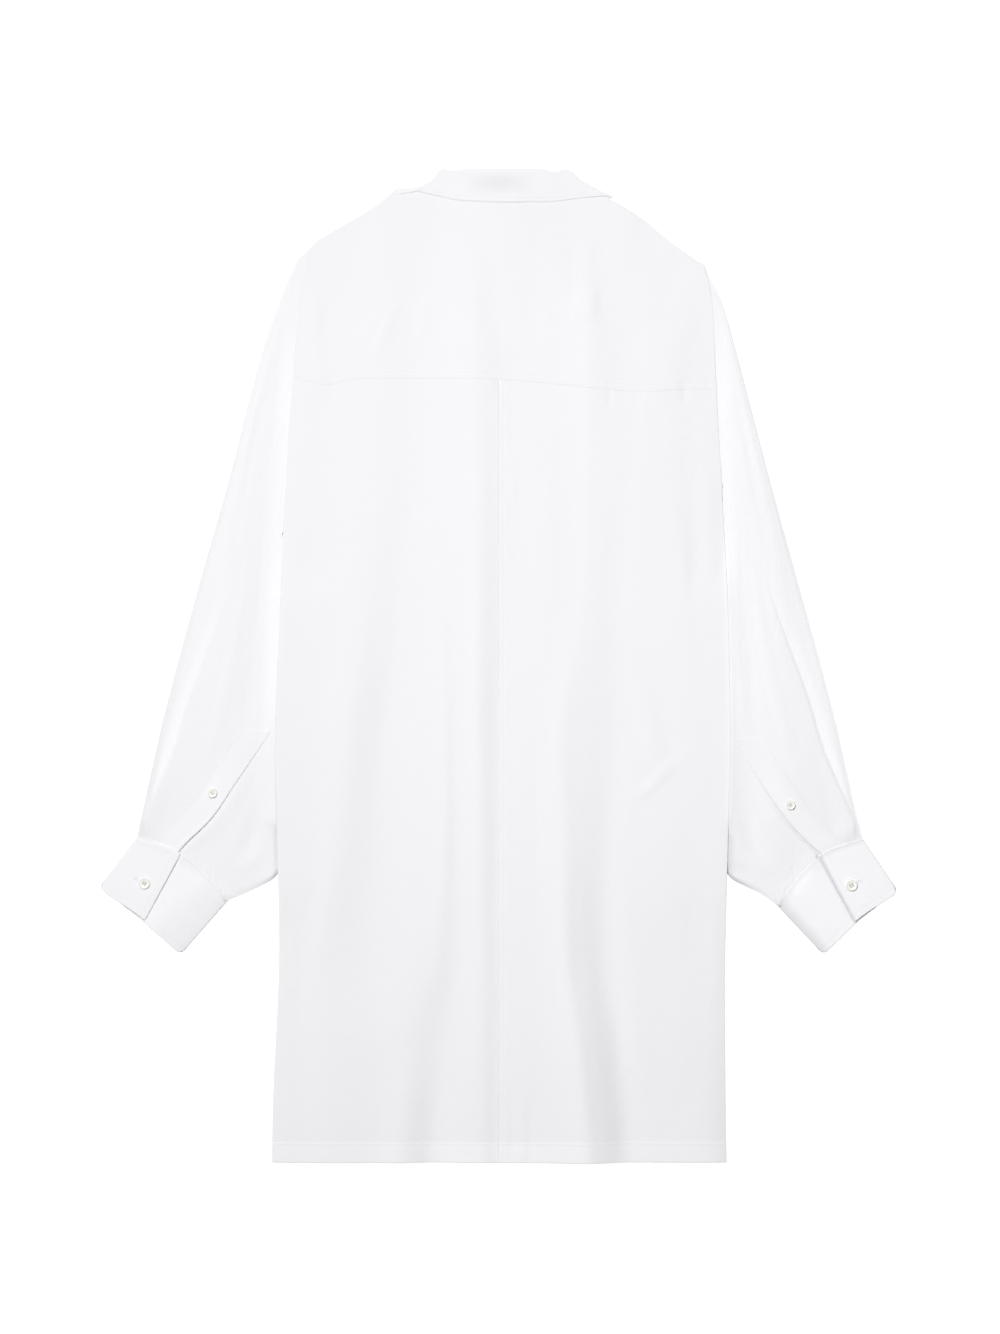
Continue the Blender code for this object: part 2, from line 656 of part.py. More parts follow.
def make_buttons(root, carriers):
    """Cuff, sleeve, front and stand buttons, each on the piece that it closes."""
    for side, word in SIDES.items():
        for label, width, spots, carrier in (
                ("cuff", BUTTON_WIDE, CUFF_BUTTON, carriers[f"cuff_{word}"]),
                ("sleeve", BUTTON_SMALL, SLEEVE_BUTTON, carriers[f"sleeve_placket_{word}"])):
            out, down = spots[side]
            heights = [surface_above(carrier, side * out + dx, down + dy)
                       for dx in (-4, 0, 4) for dy in (-4, 0, 4)]
            seat = max(h for h in heights if h is not None) + SEAM
            make_button(f"{label}_button_{word}", side * out, down, seat, width, root)
    for n in range(FRONT_BUTTONS):
        make_button(f"front_button_{n + 1}", CENTRE, FIRST_BUTTON + n * BUTTON_STEP, 0.0,
                    BUTTON_WIDE, root, rim_up=False)
    make_button("stand_button", CENTRE, sum(STAND_FRONT) / 2, 0.0, BUTTON_WIDE, root, rim_up=False)


# ---- the whole dress -------------------------------------------------------
def clear_scene():
    for obj in list(bpy.data.objects):
        bpy.data.objects.remove(obj, do_unlink=True)


def centre_on_origin(root):
    """Put the middle of the footprint over the origin."""
    bpy.context.view_layer.update()
    graph = bpy.context.evaluated_depsgraph_get()
    corners = []
    for obj in root.children:
        ready = obj.evaluated_get(graph)
        mesh = ready.to_mesh()
        corners += [obj.matrix_world @ v.co for v in mesh.vertices]
        ready.to_mesh_clear()
    for axis in (0, 1):
        low = min(c[axis] for c in corners)
        high = max(c[axis] for c in corners)
        root.location[axis] = -(low + high) / 2
    root.location.z = -min(c.z for c in corners)


def main():
    clear_scene()
    root = bpy.data.objects.new("dress", None)
    bpy.context.scene.collection.objects.link(root)
    for side in SIDES:
        make_front(side, root)
        make_back(side, root)
    make_yoke(root)
    make_bands(root)
    make_stand(root)
    make_leaf(root)
    carriers = {}
    for side, word in SIDES.items():
        sleeve = make_sleeve(side, root)
        carriers[f"cuff_{word}"] = make_cuff(side, root)
        bpy.context.view_layer.update()
        carriers[f"sleeve_placket_{word}"] = make_sleeve_placket(side, root, sleeve)
    bpy.context.view_layer.update()
    make_buttons(root, carriers)
    centre_on_origin(root)


main()
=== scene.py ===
import math
from collections import namedtuple
from functools import lru_cache, partial

import bmesh
import bpy
from mathutils import Matrix, Vector, noise
from mathutils.bvhtree import BVHTree


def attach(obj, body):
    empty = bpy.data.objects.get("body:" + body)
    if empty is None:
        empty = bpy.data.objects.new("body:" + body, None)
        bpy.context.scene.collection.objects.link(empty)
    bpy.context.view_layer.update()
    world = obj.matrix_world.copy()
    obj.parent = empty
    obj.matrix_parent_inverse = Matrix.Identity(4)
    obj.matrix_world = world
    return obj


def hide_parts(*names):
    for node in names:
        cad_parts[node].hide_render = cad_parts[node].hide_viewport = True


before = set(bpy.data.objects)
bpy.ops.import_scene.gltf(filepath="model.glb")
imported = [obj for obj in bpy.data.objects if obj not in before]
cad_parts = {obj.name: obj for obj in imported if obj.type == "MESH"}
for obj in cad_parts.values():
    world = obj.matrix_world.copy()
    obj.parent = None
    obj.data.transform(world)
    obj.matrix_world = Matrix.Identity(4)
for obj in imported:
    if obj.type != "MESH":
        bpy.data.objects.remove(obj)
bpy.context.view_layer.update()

# ---- front panels ------------------------------------------------------------
# The two fronts, each one layer of crisp white cotton poplin, lie face down on the surface.
# They are cut from shoulder to hem, hemmed on themselves and sewn to the bands.  Places are
# millimetres: x to the right, `down` from the collar fold to the hem, z from the surface.
MM = 0.001
LENGTH = 992.0        # collar fold to hem
CLOTH = 1.4           # wall that the solids leave for a piece
SHELL = 0.8           # wall of the cloth itself
SEAM = 0.3
CENTRE = 3.0          # neck and front opening lie this far to the right
BAND_HALF = 17.0
STACK = 2 * CLOTH + SEAM
BUTTON_THICK = 2.2
UNDERARM = 420.0
HEM_WIDE = 20.0
HEM_INSET = 1.5       # its row of stitching, in from the turned edge
HEM_ROW = LENGTH - HEM_WIDE + HEM_INSET
SIDES = {-1: "left", 1: "right"}

BODY_EDGE = {         # half width of the body: down, out
    -1: ((80, 190.5), (92, 192), (130, 198.5), (210, 205.5), (330, 213.5), (430, 217.5),
         (565, 223), (660, 221.5), (790, 219.5), (930, 225.5), (992, 226.5)),
    1: ((80, 202.5), (92, 205), (130, 213.5), (210, 217.5), (330, 224), (430, 229),
        (565, 231.5), (660, 229.5), (790, 226.5), (930, 227), (992, 228)),
}
SHOULDER_TIP = {-1: 80.0, 1: 95.0}
YOKE_TOP = (          # x, down
    (-190.5, 80), (-180.5, 70.5), (-146.5, 50.5), (-118, 33), (-108, 24.5), (-100, 21.5),
    (-74, 20.5), (-47, 25.2), (3, 27.0), (53, 25.4), (80, 21.0), (98, 23.5), (112, 30.2),
    (120, 34), (145.5, 50.5), (169.5, 70.5), (198.5, 91), (205, 95),
)
YOKE_SEAM = (
    (-206, 208), (-171, 215), (-148, 210), (-103, 209), (2, 210), (72, 216),
    (107, 220), (152, 222), (177, 220), (218, 219),
)
FRONT_NECK = ((17, 92), (30, 89), (44, 81), (57, 67), (67, 49), (72.5, 34), (75.5, 24), (77, 20.8))
RISE_OVER_BUTTON = BUTTON_THICK + 0.4
RISE_UNDER_BAND = RISE_OVER_BUTTON + CLOTH + SEAM
RISE_FADE = 62.0
LEAF_RISE = CLOTH + SEAM
LEAF_REACH = (116.0, 36.0, 138.0, 40.0)   # out, its fade, down, its fade
SLEEVE_RISE = STACK + 0.6
# Where the body is lifted by the sleeve beneath it: down, and in from its side.
TUCK = dict(start=372.0, rise=68.0, end=704.0, fall=96.0, reach=43.0, fade=60.0)


def smooth(t):
    """Ease from 0 to 1."""
    t = min(max(t, 0.0), 1.0)
    return t * t * (3 - 2 * t)


def onset(value, start, over):
    """Ease from 0 at `start` to 1 at `over` beyond it."""
    return smooth((value - start) / over)


def fade(value, start, over):
    """Ease from 1 at `start` to 0 at `over` beyond it."""
    return 1 - onset(value, start, over)


def bell(value, reach):
    """A soft bump of height 1 about nought."""
    return math.exp(-(value / reach) ** 2)


def between(a, b, t):
    """The value the share `t` of the way from one to another."""
    return (1 - t) * a + t * b


def uneven(x, y, z):
    """Smooth random height about nought."""
    return noise.noise(Vector((x, y, z)))


def curve(knots, at):
    """Smooth value at `at` through (place, value) knots, level beyond the ends."""
    if at <= knots[0][0]:
        return knots[0][1]
    if at >= knots[-1][0]:
        return knots[-1][1]
    last = len(knots) - 1
    i = 0
    while knots[i + 1][0] <= at:
        i += 1

    def tangent(n):
        (pa, va), (pb, vb) = knots[max(n - 1, 0)], knots[min(n + 1, last)]
        return (vb - va) / (pb - pa)

    (p0, v0), (p1, v1) = knots[i], knots[i + 1]
    span = p1 - p0
    t = (at - p0) / span
    m0, m1 = tangent(i) * span, tangent(i + 1) * span
    return v0 + m0 * t + (3 * (v1 - v0) - 2 * m0 - m1) * t ** 2 + (m0 + m1 - 2 * (v1 - v0)) * t ** 3


def trace(points, t):
    """Point at the fraction `t` of the way along a smooth line through `points`."""
    runs = [0.0]
    for a, b in zip(points, points[1:]):
        runs.append(runs[-1] + math.dist(a, b))
    return tuple(curve([(r, p[n]) for r, p in zip(runs, points)], t * runs[-1])
                 for n in range(len(points[0])))


@lru_cache(maxsize=None)
def body_edge(side, down):
    """Half width of the body on one side."""
    return curve(BODY_EDGE[side], down)


def side_of(x):
    return -1 if x < 0 else 1


def sleeve_lift(x, down):
    """Height of the body over the tucked sleeve."""
    inboard = body_edge(side_of(x), down) - abs(x)
    rise = onset(down, TUCK["start"], TUCK["rise"])
    fall = fade(down, TUCK["end"], TUCK["fall"])
    return SLEEVE_RISE * rise * fall * fade(inboard, TUCK["reach"], TUCK["fade"])


def leaf_lift(x, down):
    """Height of the front over the collar points beneath it."""
    out, out_fade, low, low_fade = LEAF_REACH
    return LEAF_RISE * fade(abs(x - CENTRE), out, out_fade) * fade(down, low, low_fade)


def front_under(x, down, band_rise):
    """Underside of a front panel."""
    over_band = band_rise * fade(abs(x - CENTRE), BAND_HALF, RISE_FADE)
    return max(over_band, leaf_lift(x, down)) + sleeve_lift(x, down)


def yoke_seam(x):
    return curve(YOKE_SEAM, x)


def front_top(x):
    """Upper edge of a front panel: neckline, then shoulder."""
    out = abs(x - CENTRE)
    return curve(FRONT_NECK, out) if out < FRONT_NECK[-1][0] else curve(YOKE_TOP, x)


def roll(distance, reach, depth):
    """How far a turned edge has rolled down at a distance in from it."""
    t = min(max(distance / reach, 0.0), 1.0)
    return depth * (1 - math.sqrt(1 - (1 - t) ** 2))


def crumple(x, down, amount=0.3):
    """Soft unevenness of pressed cotton, longer down the cloth than across it."""
    return amount * (uneven(x / 34, down / 120, 3.1) + 0.35 * uneven(x / 11, down / 26, 8.7))


def hem_shape(x, down):
    """Extra height and whiteness of the turned hem with its one row of stitching: whiter where the
    cloth is doubled, and whiter still towards the centre, a painted highlight.
    """
    up = LENGTH - down
    band = smooth((HEM_WIDE + 0.6 - up) / 1.2)
    from_row = up - HEM_WIDE + HEM_INSET
    pucker = 0.16 * math.exp(-abs(from_row) / 5.0) * uneven(x / 4.2, 5.5, up / 30)
    groove = -0.18 * bell(from_row, 0.9)
    return 0.3 * band + pucker + groove - roll(up, 1.2, 0.45), (0.45 + 0.45 * bell(x, 70)) * band


EDGE_LINES = (0.0, 0.2, 0.5, 1.0, 1.8)     # mesh lines beside an edge, in from it
MARK_LINES = (-1.2, -0.5, 0.0, 0.5, 1.2)   # mesh lines beside a sewn mark


def mesh_lines(length, step, marks=()):
    """Shares of a length for mesh lines: close at the ends and marks, even between them."""
    fixed = set(EDGE_LINES) | {length - e for e in EDGE_LINES}
    fixed = sorted(fixed | {m + d for m in marks for d in MARK_LINES})
    shares = [0.0]
    for a, b in zip(fixed, fixed[1:]):
        parts = max(1, math.ceil((b - a) / step))
        shares += [(a + (b - a) * (n + 1) / parts) / length for n in range(parts)]
    return shares


def arithmetic(operation):
    """The two methods of a wire for one operator, as written and reflected."""
    return (lambda wire, value: wire.maths(operation, wire, value),
            lambda wire, value: wire.maths(operation, value, wire))


class Wire:
    """One output of a finish; arithmetic on it adds Math nodes."""

    __add__, __radd__ = arithmetic("ADD")
    __sub__, __rsub__ = arithmetic("SUBTRACT")
    __mul__, __rmul__ = arithmetic("MULTIPLY")
    __gt__, __lt__ = arithmetic("GREATER_THAN")

    def __init__(self, finish, socket):
        self.finish = finish
        self.socket = socket

    def __abs__(self):
        return self.maths("ABSOLUTE", self)

    def sine(self):
        return self.maths("SINE", self)

    def maths(self, operation, first, second=None):
        return self.finish.add("ShaderNodeMath", {"operation": operation}, {0: first, 1: second})

    def other(self, name):
        """Another output of the same node."""
        return Wire(self.finish, self.socket.node.outputs[name])


class Finish:
    """A material on the standard shader, built node by node."""

    def __init__(self, name, **constants):
        self.material = bpy.data.materials.new(name)
        self.material.use_nodes = True
        self.tree = self.material.node_tree
        self.shader = self.tree.nodes["Principled BSDF"]
        for key, value in constants.items():
            self.shader.inputs[key.replace("_", " ")].default_value = value

    def add(self, kind, settings=(), sockets=(), output=0):
        """A node of one kind, with its settings and the values or wires of its sockets."""
        made = self.tree.nodes.new(kind)
        for key, value in dict(settings).items():
            setattr(made, key, value)
        for key, value in dict(sockets).items():
            self.feed(made.inputs[key], value)
        return Wire(self, made.outputs[output])

    def feed(self, socket, value):
        if isinstance(value, Wire):
            self.tree.links.new(value.socket, socket)
        elif value is not None:
            socket.default_value = value

    def set(self, socket, value):
        self.feed(self.shader.inputs[socket], value)

    def mix(self, factor, first, second):
        """A colour between two, or past them for a factor outside 0 and 1."""
        return self.add("ShaderNodeMix", {"data_type": "RGBA", "clamp_factor": False},
                        {0: factor, 6: first, 7: second}, 2)

    def noise(self, place, scale, detail=2.0):
        return self.add("ShaderNodeTexNoise", {},
                        {"Vector": place, "Scale": scale, "Detail": detail})

    def bump(self, height):
        """Relief whose height is in metres."""
        return self.add("ShaderNodeBump", {}, {"Height": height, "Distance": 1.0, "Strength": 1.0})


THREAD_PITCH = 0.00028                       # metres from one thread of the weave to the next
SINGLE_WHITE = (0.800, 0.800, 0.816, 1.0)    # one layer, a little grey where it is thin
DOUBLED_WHITE = (0.842, 0.842, 0.858, 1.0)   # over a hem, allowance or pleat it is opaque


def poplin(name, crispness):
    """White cotton poplin: a plain weave with fine slubs, pressed but not quite flat."""
    cloth = Finish(name, Sheen_Weight=0.04, Specular_IOR_Level=0.3)
    cut = cloth.add("ShaderNodeUVMap", {"uv_map": "cut"})
    place = cloth.add("ShaderNodeSeparateXYZ", {}, {0: cut})
    warp = (place * (math.pi / THREAD_PITCH)).sine()
    weft = (place.other("Y") * (math.pi / THREAD_PITCH)).sine()
    warp_over = warp * weft > 0.0
    weave = warp_over * abs(warp) + (1.0 - warp_over) * abs(weft)
    stretched = cloth.add("ShaderNodeVectorMath", {"operation": "MULTIPLY"},
                          {0: cut, 1: (14.0, 1.0, 1.0)})
    slub = cloth.noise(stretched, 150.0)
    crease = cloth.noise(cut, 85.0, 4.0)
    relief = weave * 0.00003 + slub * 0.00005 + crease * (0.0003 / crispness)
    cloth.set("Normal", cloth.bump(relief))
    # The attribute holds the layers of cloth and also painted light: below nought it paints shade
    # into creases, gaps, seams and edges, above one a painted highlight, so the colour runs past
    # both whites.
    layers = cloth.add("ShaderNodeAttribute", {"attribute_name": "layers_and_painted_shading"}, {}, "Fac")
    white = cloth.mix(layers, SINGLE_WHITE, DOUBLED_WHITE)
    cloth.set("Base Color", cloth.mix(slub * 0.05 + weave * 0.03, white, (0.74, 0.75, 0.79, 1.0)))
    cloth.set("Roughness", 0.74 + slub * 0.14)
    return cloth.material


body_poplin = poplin("body poplin", 1.0)


def to_frame(x, down, z):
    """A place as a point of the frame, still in millimetres."""
    return Vector((x, LENGTH / 2 - down, z))


def sheet_mesh(across, along, spot, cut=None):
    """A grid of cloth: `spot` gives x, down, z and whiteness, `cut` the place on the flat cut."""
    bm = bmesh.new()
    layers_and_painted_shading = bm.verts.layers.float.new("layers_and_painted_shading")
    bmesh.ops.create_grid(bm, x_segments=len(across) - 1, y_segments=len(along) - 1, size=0.5)
    flat = {}
    for vert in bm.verts:
        i = round((vert.co.x + 0.5) * (len(across) - 1))
        j = round((0.5 - vert.co.y) * (len(along) - 1))
        x, down, z, vert[layers_and_painted_shading] = spot(across[i], along[j])
        vert.co = to_frame(x, down, z) * MM
        flat[vert] = Vector(cut(across[i], along[j]) if cut else (x, down)) * MM
    layer = bm.loops.layers.uv.new("cut")
    for face in bm.faces:
        for loop in face.loops:
            loop[layer].uv = flat[loop.vert]
    return bm


def mesh_of(name, bm):
    """The mesh as data of its own; the working mesh is given up."""
    mesh = bpy.data.meshes.new(name)
    bm.to_mesh(mesh)
    bm.free()
    return mesh


def put(name, data):
    """A new object in the scene, at the origin."""
    made = bpy.data.objects.new(name, data)
    bpy.context.scene.collection.objects.link(made)
    return made


def add_piece(name, bm, material, sharp_angle=None):
    mesh = mesh_of(name, bm)
    mesh.materials.append(material)
    mesh.shade_smooth()
    if sharp_angle:
        mesh.set_sharp_from_angle(angle=math.radians(sharp_angle))
    piece = put(name, mesh)
    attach(piece, "root")
    return piece


def add_cloth(name, bm, material, wall, offset):
    """A finished sheet: `offset` -1 puts the wall behind the mesh, 1 in front, 0 astride."""
    piece = add_piece(name, bm, material)
    shell = piece.modifiers.new("cloth wall", "SOLIDIFY")
    shell.thickness = wall * MM
    shell.offset = offset
    shell.use_quality_normals = True
    return piece


def cloth_sheet(name, across, along, spot, material, cut=None, wall=SHELL, offset=-1):
    return add_cloth(name, sheet_mesh(across, along, spot, cut), material, wall, offset)


def surface(piece, below=False):
    """A function that gives the height of a finished piece's upper or lower face at a place."""
    bpy.context.view_layer.update()
    tree = BVHTree.FromObject(piece, bpy.context.evaluated_depsgraph_get())
    start, way = (-0.01, Vector((0, 0, 1))) if below else (0.06, Vector((0, 0, -1)))

    def height(x, down):
        hit = tree.ray_cast(Vector((x * MM, (LENGTH / 2 - down) * MM, start)), way)[0]
        return hit.z / MM if hit else None
    return height


thread = Finish("sewing thread", Sheen_Weight=0.1)
ply = thread.noise(thread.add("ShaderNodeTexCoord", {}, {}, "Object"), 5200.0, 1.0)
thread.set("Base Color", thread.mix(ply, (0.80, 0.80, 0.81, 1.0), (0.88, 0.88, 0.89, 1.0)))
thread.set("Roughness", 0.55 + ply * 0.2)
thread.set("Normal", thread.bump(ply * 0.00004))

STITCH = 2.4          # one stitch of the machine, and the gap to the next
STITCH_GAP = 0.6
STITCH_HALF = 0.17    # half its thickness
STITCH_LOW = 0.16     # it lies at least this high, clear of the surface
STITCH_STEEP = 1.5    # one that would climb more than this has left the cloth
BATCH = 40            # stitches made at a time
PATH_PITCH = 0.3      # of the places that a row is laid out on
HOLE_PITCH = 0.6      # buttonhole stitches: apart, from the slit, half thick
HOLE_SPAN = (0.2, 1.3)
HOLE_HALF = 0.25


def thread_run(bm, start, end, radius, sides=6):
    """One short length of thread, a slim spindle between two points, in millimetres."""
    middle, run = (start + end) / 2, end - start
    aim = run.to_track_quat("Z", "Y").to_matrix().to_4x4()
    size = Matrix.Diagonal((radius, radius, run.length / 2 + radius / 2, 1))
    matrix = Matrix.Scale(MM, 4) @ Matrix.Translation(middle) @ aim @ size
    bmesh.ops.create_uvsphere(bm, u_segments=sides, v_segments=max(sides - 2, 3), radius=1.0,
                              matrix=matrix)


def add_runs(bm, runs, radius):
    """Stitches, made a few at a time, because every operator looks through its whole mesh."""
    batch_mesh = bpy.data.meshes.new("stitches")
    for first in range(0, len(runs), BATCH):
        batch = bmesh.new()
        for start, end in runs[first:first + BATCH]:
            if not math.isnan(start.z + end.z):
                thread_run(batch, start, end, radius, 4)
        batch.to_mesh(batch_mesh)
        batch.free()
        bm.from_mesh(batch_mesh)
    bpy.data.meshes.remove(batch_mesh)


def along_path(path):
    """Places PATH_PITCH apart along a path of (x, down) places."""
    places, left = [], PATH_PITCH
    for a, b in zip(path, path[1:]):
        length = math.dist(a, b)
        while left <= length:
            places.append(tuple(p + left / length * (q - p) for p, q in zip(a, b)))
            left += PATH_PITCH
        left -= length
    return places


def sew(bm, path, face):
    """A row of stitches along a path of (x, down) places, on the height that `face` gives."""
    places = along_path(path)
    step, long = round((STITCH + STITCH_GAP) / PATH_PITCH), round(STITCH / PATH_PITCH)
    runs = []
    for n in range(0, len(places) - long, step):
        start, end = (to_frame(x, down, max(face(x, down) or math.nan, STITCH_LOW))
                      for x, down in (places[n], places[n + long]))
        if abs(start.z - end.z) < STITCH_STEEP:
            runs.append((start, end))
    add_runs(bm, runs, STITCH_HALF)


def sew_hole(bm, place, way, length, face):
    """A worked buttonhole: stitches close together across the way it runs, on both sides."""
    way = Vector(way).normalized()
    aside = Vector((-way.y, way.x))
    runs = []
    for n in range(round(length / HOLE_PITCH)):
        for hand in (-1, 1):
            ends = [Vector(place) + way * (HOLE_PITCH * n) + aside * (hand * out)
                    for out in HOLE_SPAN]
            runs.append([to_frame(x, down, face(x, down) or math.nan) for x, down in ends])
    add_runs(bm, runs, HOLE_HALF)


def stitching(name, face, paths, holes=()):
    """The thread of one piece: rows along paths, and buttonholes as (place, way, length)."""
    bm = bmesh.new()
    for path in paths:
        sew(bm, path, face)
    for place, way, length in holes:
        sew_hole(bm, place, way, length, face)
    return add_piece(name, bm, thread.material)


FRONT_WIDE, FRONT_LONG = 212.0, 930.0     # a panel's size, for the spacing of its mesh lines


def front_spot(side, share, part):
    """A place on a front: `share` from its band to its side, `part` from its top to its hem."""
    band_rise = RISE_UNDER_BAND if side < 0 else RISE_OVER_BUTTON
    inner = CENTRE + side * (BAND_HALF + 0.1)
    tip = side * body_edge(side, SHOULDER_TIP[side])
    level = SHOULDER_TIP[side] + part * (LENGTH - SHOULDER_TIP[side])
    top = front_top(inner + share * (tip - inner))
    down = top + part * (LENGTH - top)
    x = inner + share * (side * body_edge(side, max(level, down)) - inner)
    hem, white = hem_shape(x, down)
    edge = abs(side * body_edge(side, down) - x)
    z = front_under(x, down, band_rise) + max(crumple(x, down, 0.12), 0.0)
    return x, down, z + max(-hem, 0.0) * 0.3 + roll(edge, 1.6, 0.65), white


for side, word in SIDES.items():
    front = cloth_sheet(f"front_panel_{word}", mesh_lines(FRONT_WIDE, 7.0)[::side],
                        mesh_lines(FRONT_LONG, 8.0, (FRONT_LONG - HEM_WIDE,)),
                        partial(front_spot, side), body_poplin, offset=1)
    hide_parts(f"front_{word}")
    ends = (CENTRE + side * (BAND_HALF + 1), side * (body_edge(side, LENGTH) - 1))
    hem_row = stitching(f"front_hem_row_{word}", surface(front, below=True),
                        [[(x, HEM_ROW) for x in ends]])

# ---- back panels -------------------------------------------------------------
# Two long panels of the same poplin, joined down the centre by a lapped seam with two rows of
# stitching, and lying on the fronts.  They fall from the yoke in soft uneven folds that open
# into a raised flare between two deep ones at the hem.
STATIONS = (210, 310, 430, 550, 670, 790, 870, 930, 992)
Crease = namedtuple("Crease", "name x rise")
SIDE_CREASES = (      # x is here the distance in from the side seam
    Crease("side", (0,) * 9, (0.2,) * 9),
    Crease("roll", (12, 12, 13, 12, 11, 11, 11, 11, 11),
           (1.0, 1.3, 1.7, 1.9, 1.9, 1.6, 1.8, 2.4, 2.8)),
    Crease("inner", (28, 30, 29, 25, 23, 23, 24, 25, 25),
           (2.0, 1.8, 1.2, 1.0, 1.2, 1.7, 2.6, 3.4, 3.8)),
)
LEFT_CREASES = (
    Crease("outer_ridge", (-120, -122, -133, -149, -160, -177, -171, -169, -168),
           (4.2, 4.1, 4.2, 5.4, 5.0, 4.6, 5.6, 6.5, 6.8)),
    Crease("hollow", (-86, -88, -98, -110, -118, -129, -124, -121, -121),
           (3.0, 2.6, 1.8, 1.0, 0.6, 1.2, 4.2, 4.8, 5.4)),
    Crease("inner_ridge", (-68, -67, -62, -55, -55, -66, -87, -92, -97),
           (3.6, 3.6, 3.5, 4.6, 4.6, 4.8, 5.0, 6.6, 7.6)),
    Crease("deep", (-46, -46, -45, -44, -43, -42, -54, -62, -67),
           (3.6, 3.3, 3.0, 3.1, 2.4, 0.6, 0.4, 0.3, 0.4)),
    Crease("bank", (-34, -34, -33, -32, -32, -31, -40, -46, -49),
           (3.3, 3.1, 2.9, 3.1, 2.5, 0.9, 0.6, 0.7, 1.0)),
    Crease("centre_ridge", (-24, -18, -19, -20, -18, -17, -16, -16, -16),
           (3.0, 3.2, 3.6, 4.2, 4.2, 3.0, 2.8, 2.8, 2.6)),
    Crease("seam_foot", (-3,) * 9, (1.2, 1.3, 1.0, 0.8, 1.4, 0.8, 0.9, 0.8, 0.5)),
)
RIGHT_CREASES = (
    Crease("seam", (1.5,) * 9, (1.0, 1.0, 0.6, 0.5, 1.3, 0.8, 0.9, 0.8, 0.5)),
    Crease("flank", (26, 26, 26, 32, 36, 36, 38, 38, 38),
           (0.8, 0.7, 0.8, 2.0, 3.2, 3.1, 4.2, 4.0, 3.9)),
    Crease("lift", (57, 56, 54, 48, 50, 54, 61, 65, 69),
           (3.9, 3.5, 3.3, 4.2, 6.0, 6.6, 9.0, 9.6, 10.4)),
    Crease("crown", (88, 85, 82, 64, 65, 68, 78, 84, 89),
           (6.6, 5.8, 5.4, 6.8, 8.8, 10.4, 13.4, 14.2, 14.6)),
    Crease("brow", (102, 101, 94, 80, 78, 82, 92, 99, 104),
           (6.2, 5.5, 5.2, 6.0, 7.8, 7.6, 10.2, 10.2, 10.2)),
    Crease("deep", (136, 131, 118, 114, 107, 106, 118, 124, 127),
           (4.6, 4.2, 3.4, 2.6, 2.8, 1.2, 1.2, 1.0, 1.0)),
    Crease("slope", (150, 146, 138, 138, 130, 134, 140, 150, 151),
           (4.6, 4.2, 3.7, 3.0, 3.5, 2.8, 2.6, 2.0, 2.0)),
    Crease("side_ridge", (168, 170, 188, 190, 181, 175, 178, 184, 180),
           (3.6, 3.6, 3.2, 2.4, 3.2, 2.4, 3.2, 3.0, 3.2)),
)
Fold = namedtuple("Fold", "path left right height")   # path is (x, down); widths to each side
BODY_FOLDS = (        # smaller folds of the yoke and the back; hollows are below nought
    Fold(((-185, 100), (-185, 160), (-179, 240)), 16, 16, 1.3),
    Fold(((-28, 60), (-26, 115), (-24, 155), (-13, 185), (-11, 250)), 50, 26, 1.2),
    Fold(((80, 40), (82, 90), (86, 140), (92, 180), (100, 260)), 45, 26, 1.2),
    Fold(((183, 100), (183, 155), (176, 185), (175, 250)), 30, 22, 0.6),
    Fold(((-94, 110), (-110, 150), (-131, 206)), 8, 14, 0.6),
    Fold(((-62, 105), (-75, 145), (-89, 200)), 8, 14, 0.5),
    Fold(((54, 50), (52, 120), (50, 190)), 26, 26, 0.6),
    Fold(((92, 112), (93, 134), (94, 156)), 30, 10, 0.8),
    Fold(((-168, 202), (-167, 214), (-165, 234)), 4.5, 4.5, -0.7),
    Fold(((-2, 202), (-1, 213), (0, 234)), 5, 5, -0.6),
    Fold(((109, 208), (110, 221), (112, 244)), 5, 5, -0.7),
    Fold(((184, 206), (185, 220), (186, 238)), 4.5, 4.5, -0.8),
    Fold(((13, 296), (14, 318), (15, 342)), 5, 5, 0.5),
    Fold(((142, 500), (150, 550), (163, 610)), 20, 16, 0.8),
    Fold(((184, 580), (158, 610), (126, 640)), 14, 16, 0.7),
    Fold(((12, 905), (14, 962), (14, 1020)), 6, 6, -0.5),
    Fold(((30, 915), (31, 962), (32, 1020)), 7, 7, -0.6),
)
BACK_WIDE, BACK_LONG = 228.0, 785.0
YOKE_LAP = 3.0        # the back goes on this far under the yoke
CENTRE_LAP = 3.0      # and the left panel this far under the right one
UNDER_LAP = 1.1       # the piece beneath a lapped seam goes down this far
BESIDE_LAP = 0.12     # and this far just beside it
LAP_EDGE = 0.0        # x of the right panel's turned edge
LAP_STITCHES = (1.3, 5.5)    # x of its two rows of stitching
BRIGHT_SIDE = (UNDERARM - 70, 40, 640, 20)   # part of the right side with a painted highlight along its edge: start, rise, end, fall


def back_floor(x, down):
    """Lowest place for the underside of whatever lies on the front."""
    return front_under(x, down, RISE_UNDER_BAND) + CLOTH + SEAM


@lru_cache(maxsize=None)
def crease_line(level):
    """(x, rise) of every crease of the back at one level, side seam to side seam."""
    def at(values):
        return curve(tuple(zip(STATIONS, values)), level)

    left = [(at(c.x) - body_edge(-1, level), at(c.rise)) for c in SIDE_CREASES]
    right = [(body_edge(1, level) - at(c.x), at(c.rise)) for c in SIDE_CREASES[::-1]]
    return tuple(left + [(at(c.x), at(c.rise)) for c in LEFT_CREASES + RIGHT_CREASES] + right)


def bridged(x, down, rise):
    """Rise over the front that is left where the cloth bridges the lumps beneath it."""
    spare = rise - 0.2 - 0.8 * (leaf_lift(x, down) + sleeve_lift(x, down))
    return 0.2 + 0.5 * (spare + math.hypot(spare, 0.5))


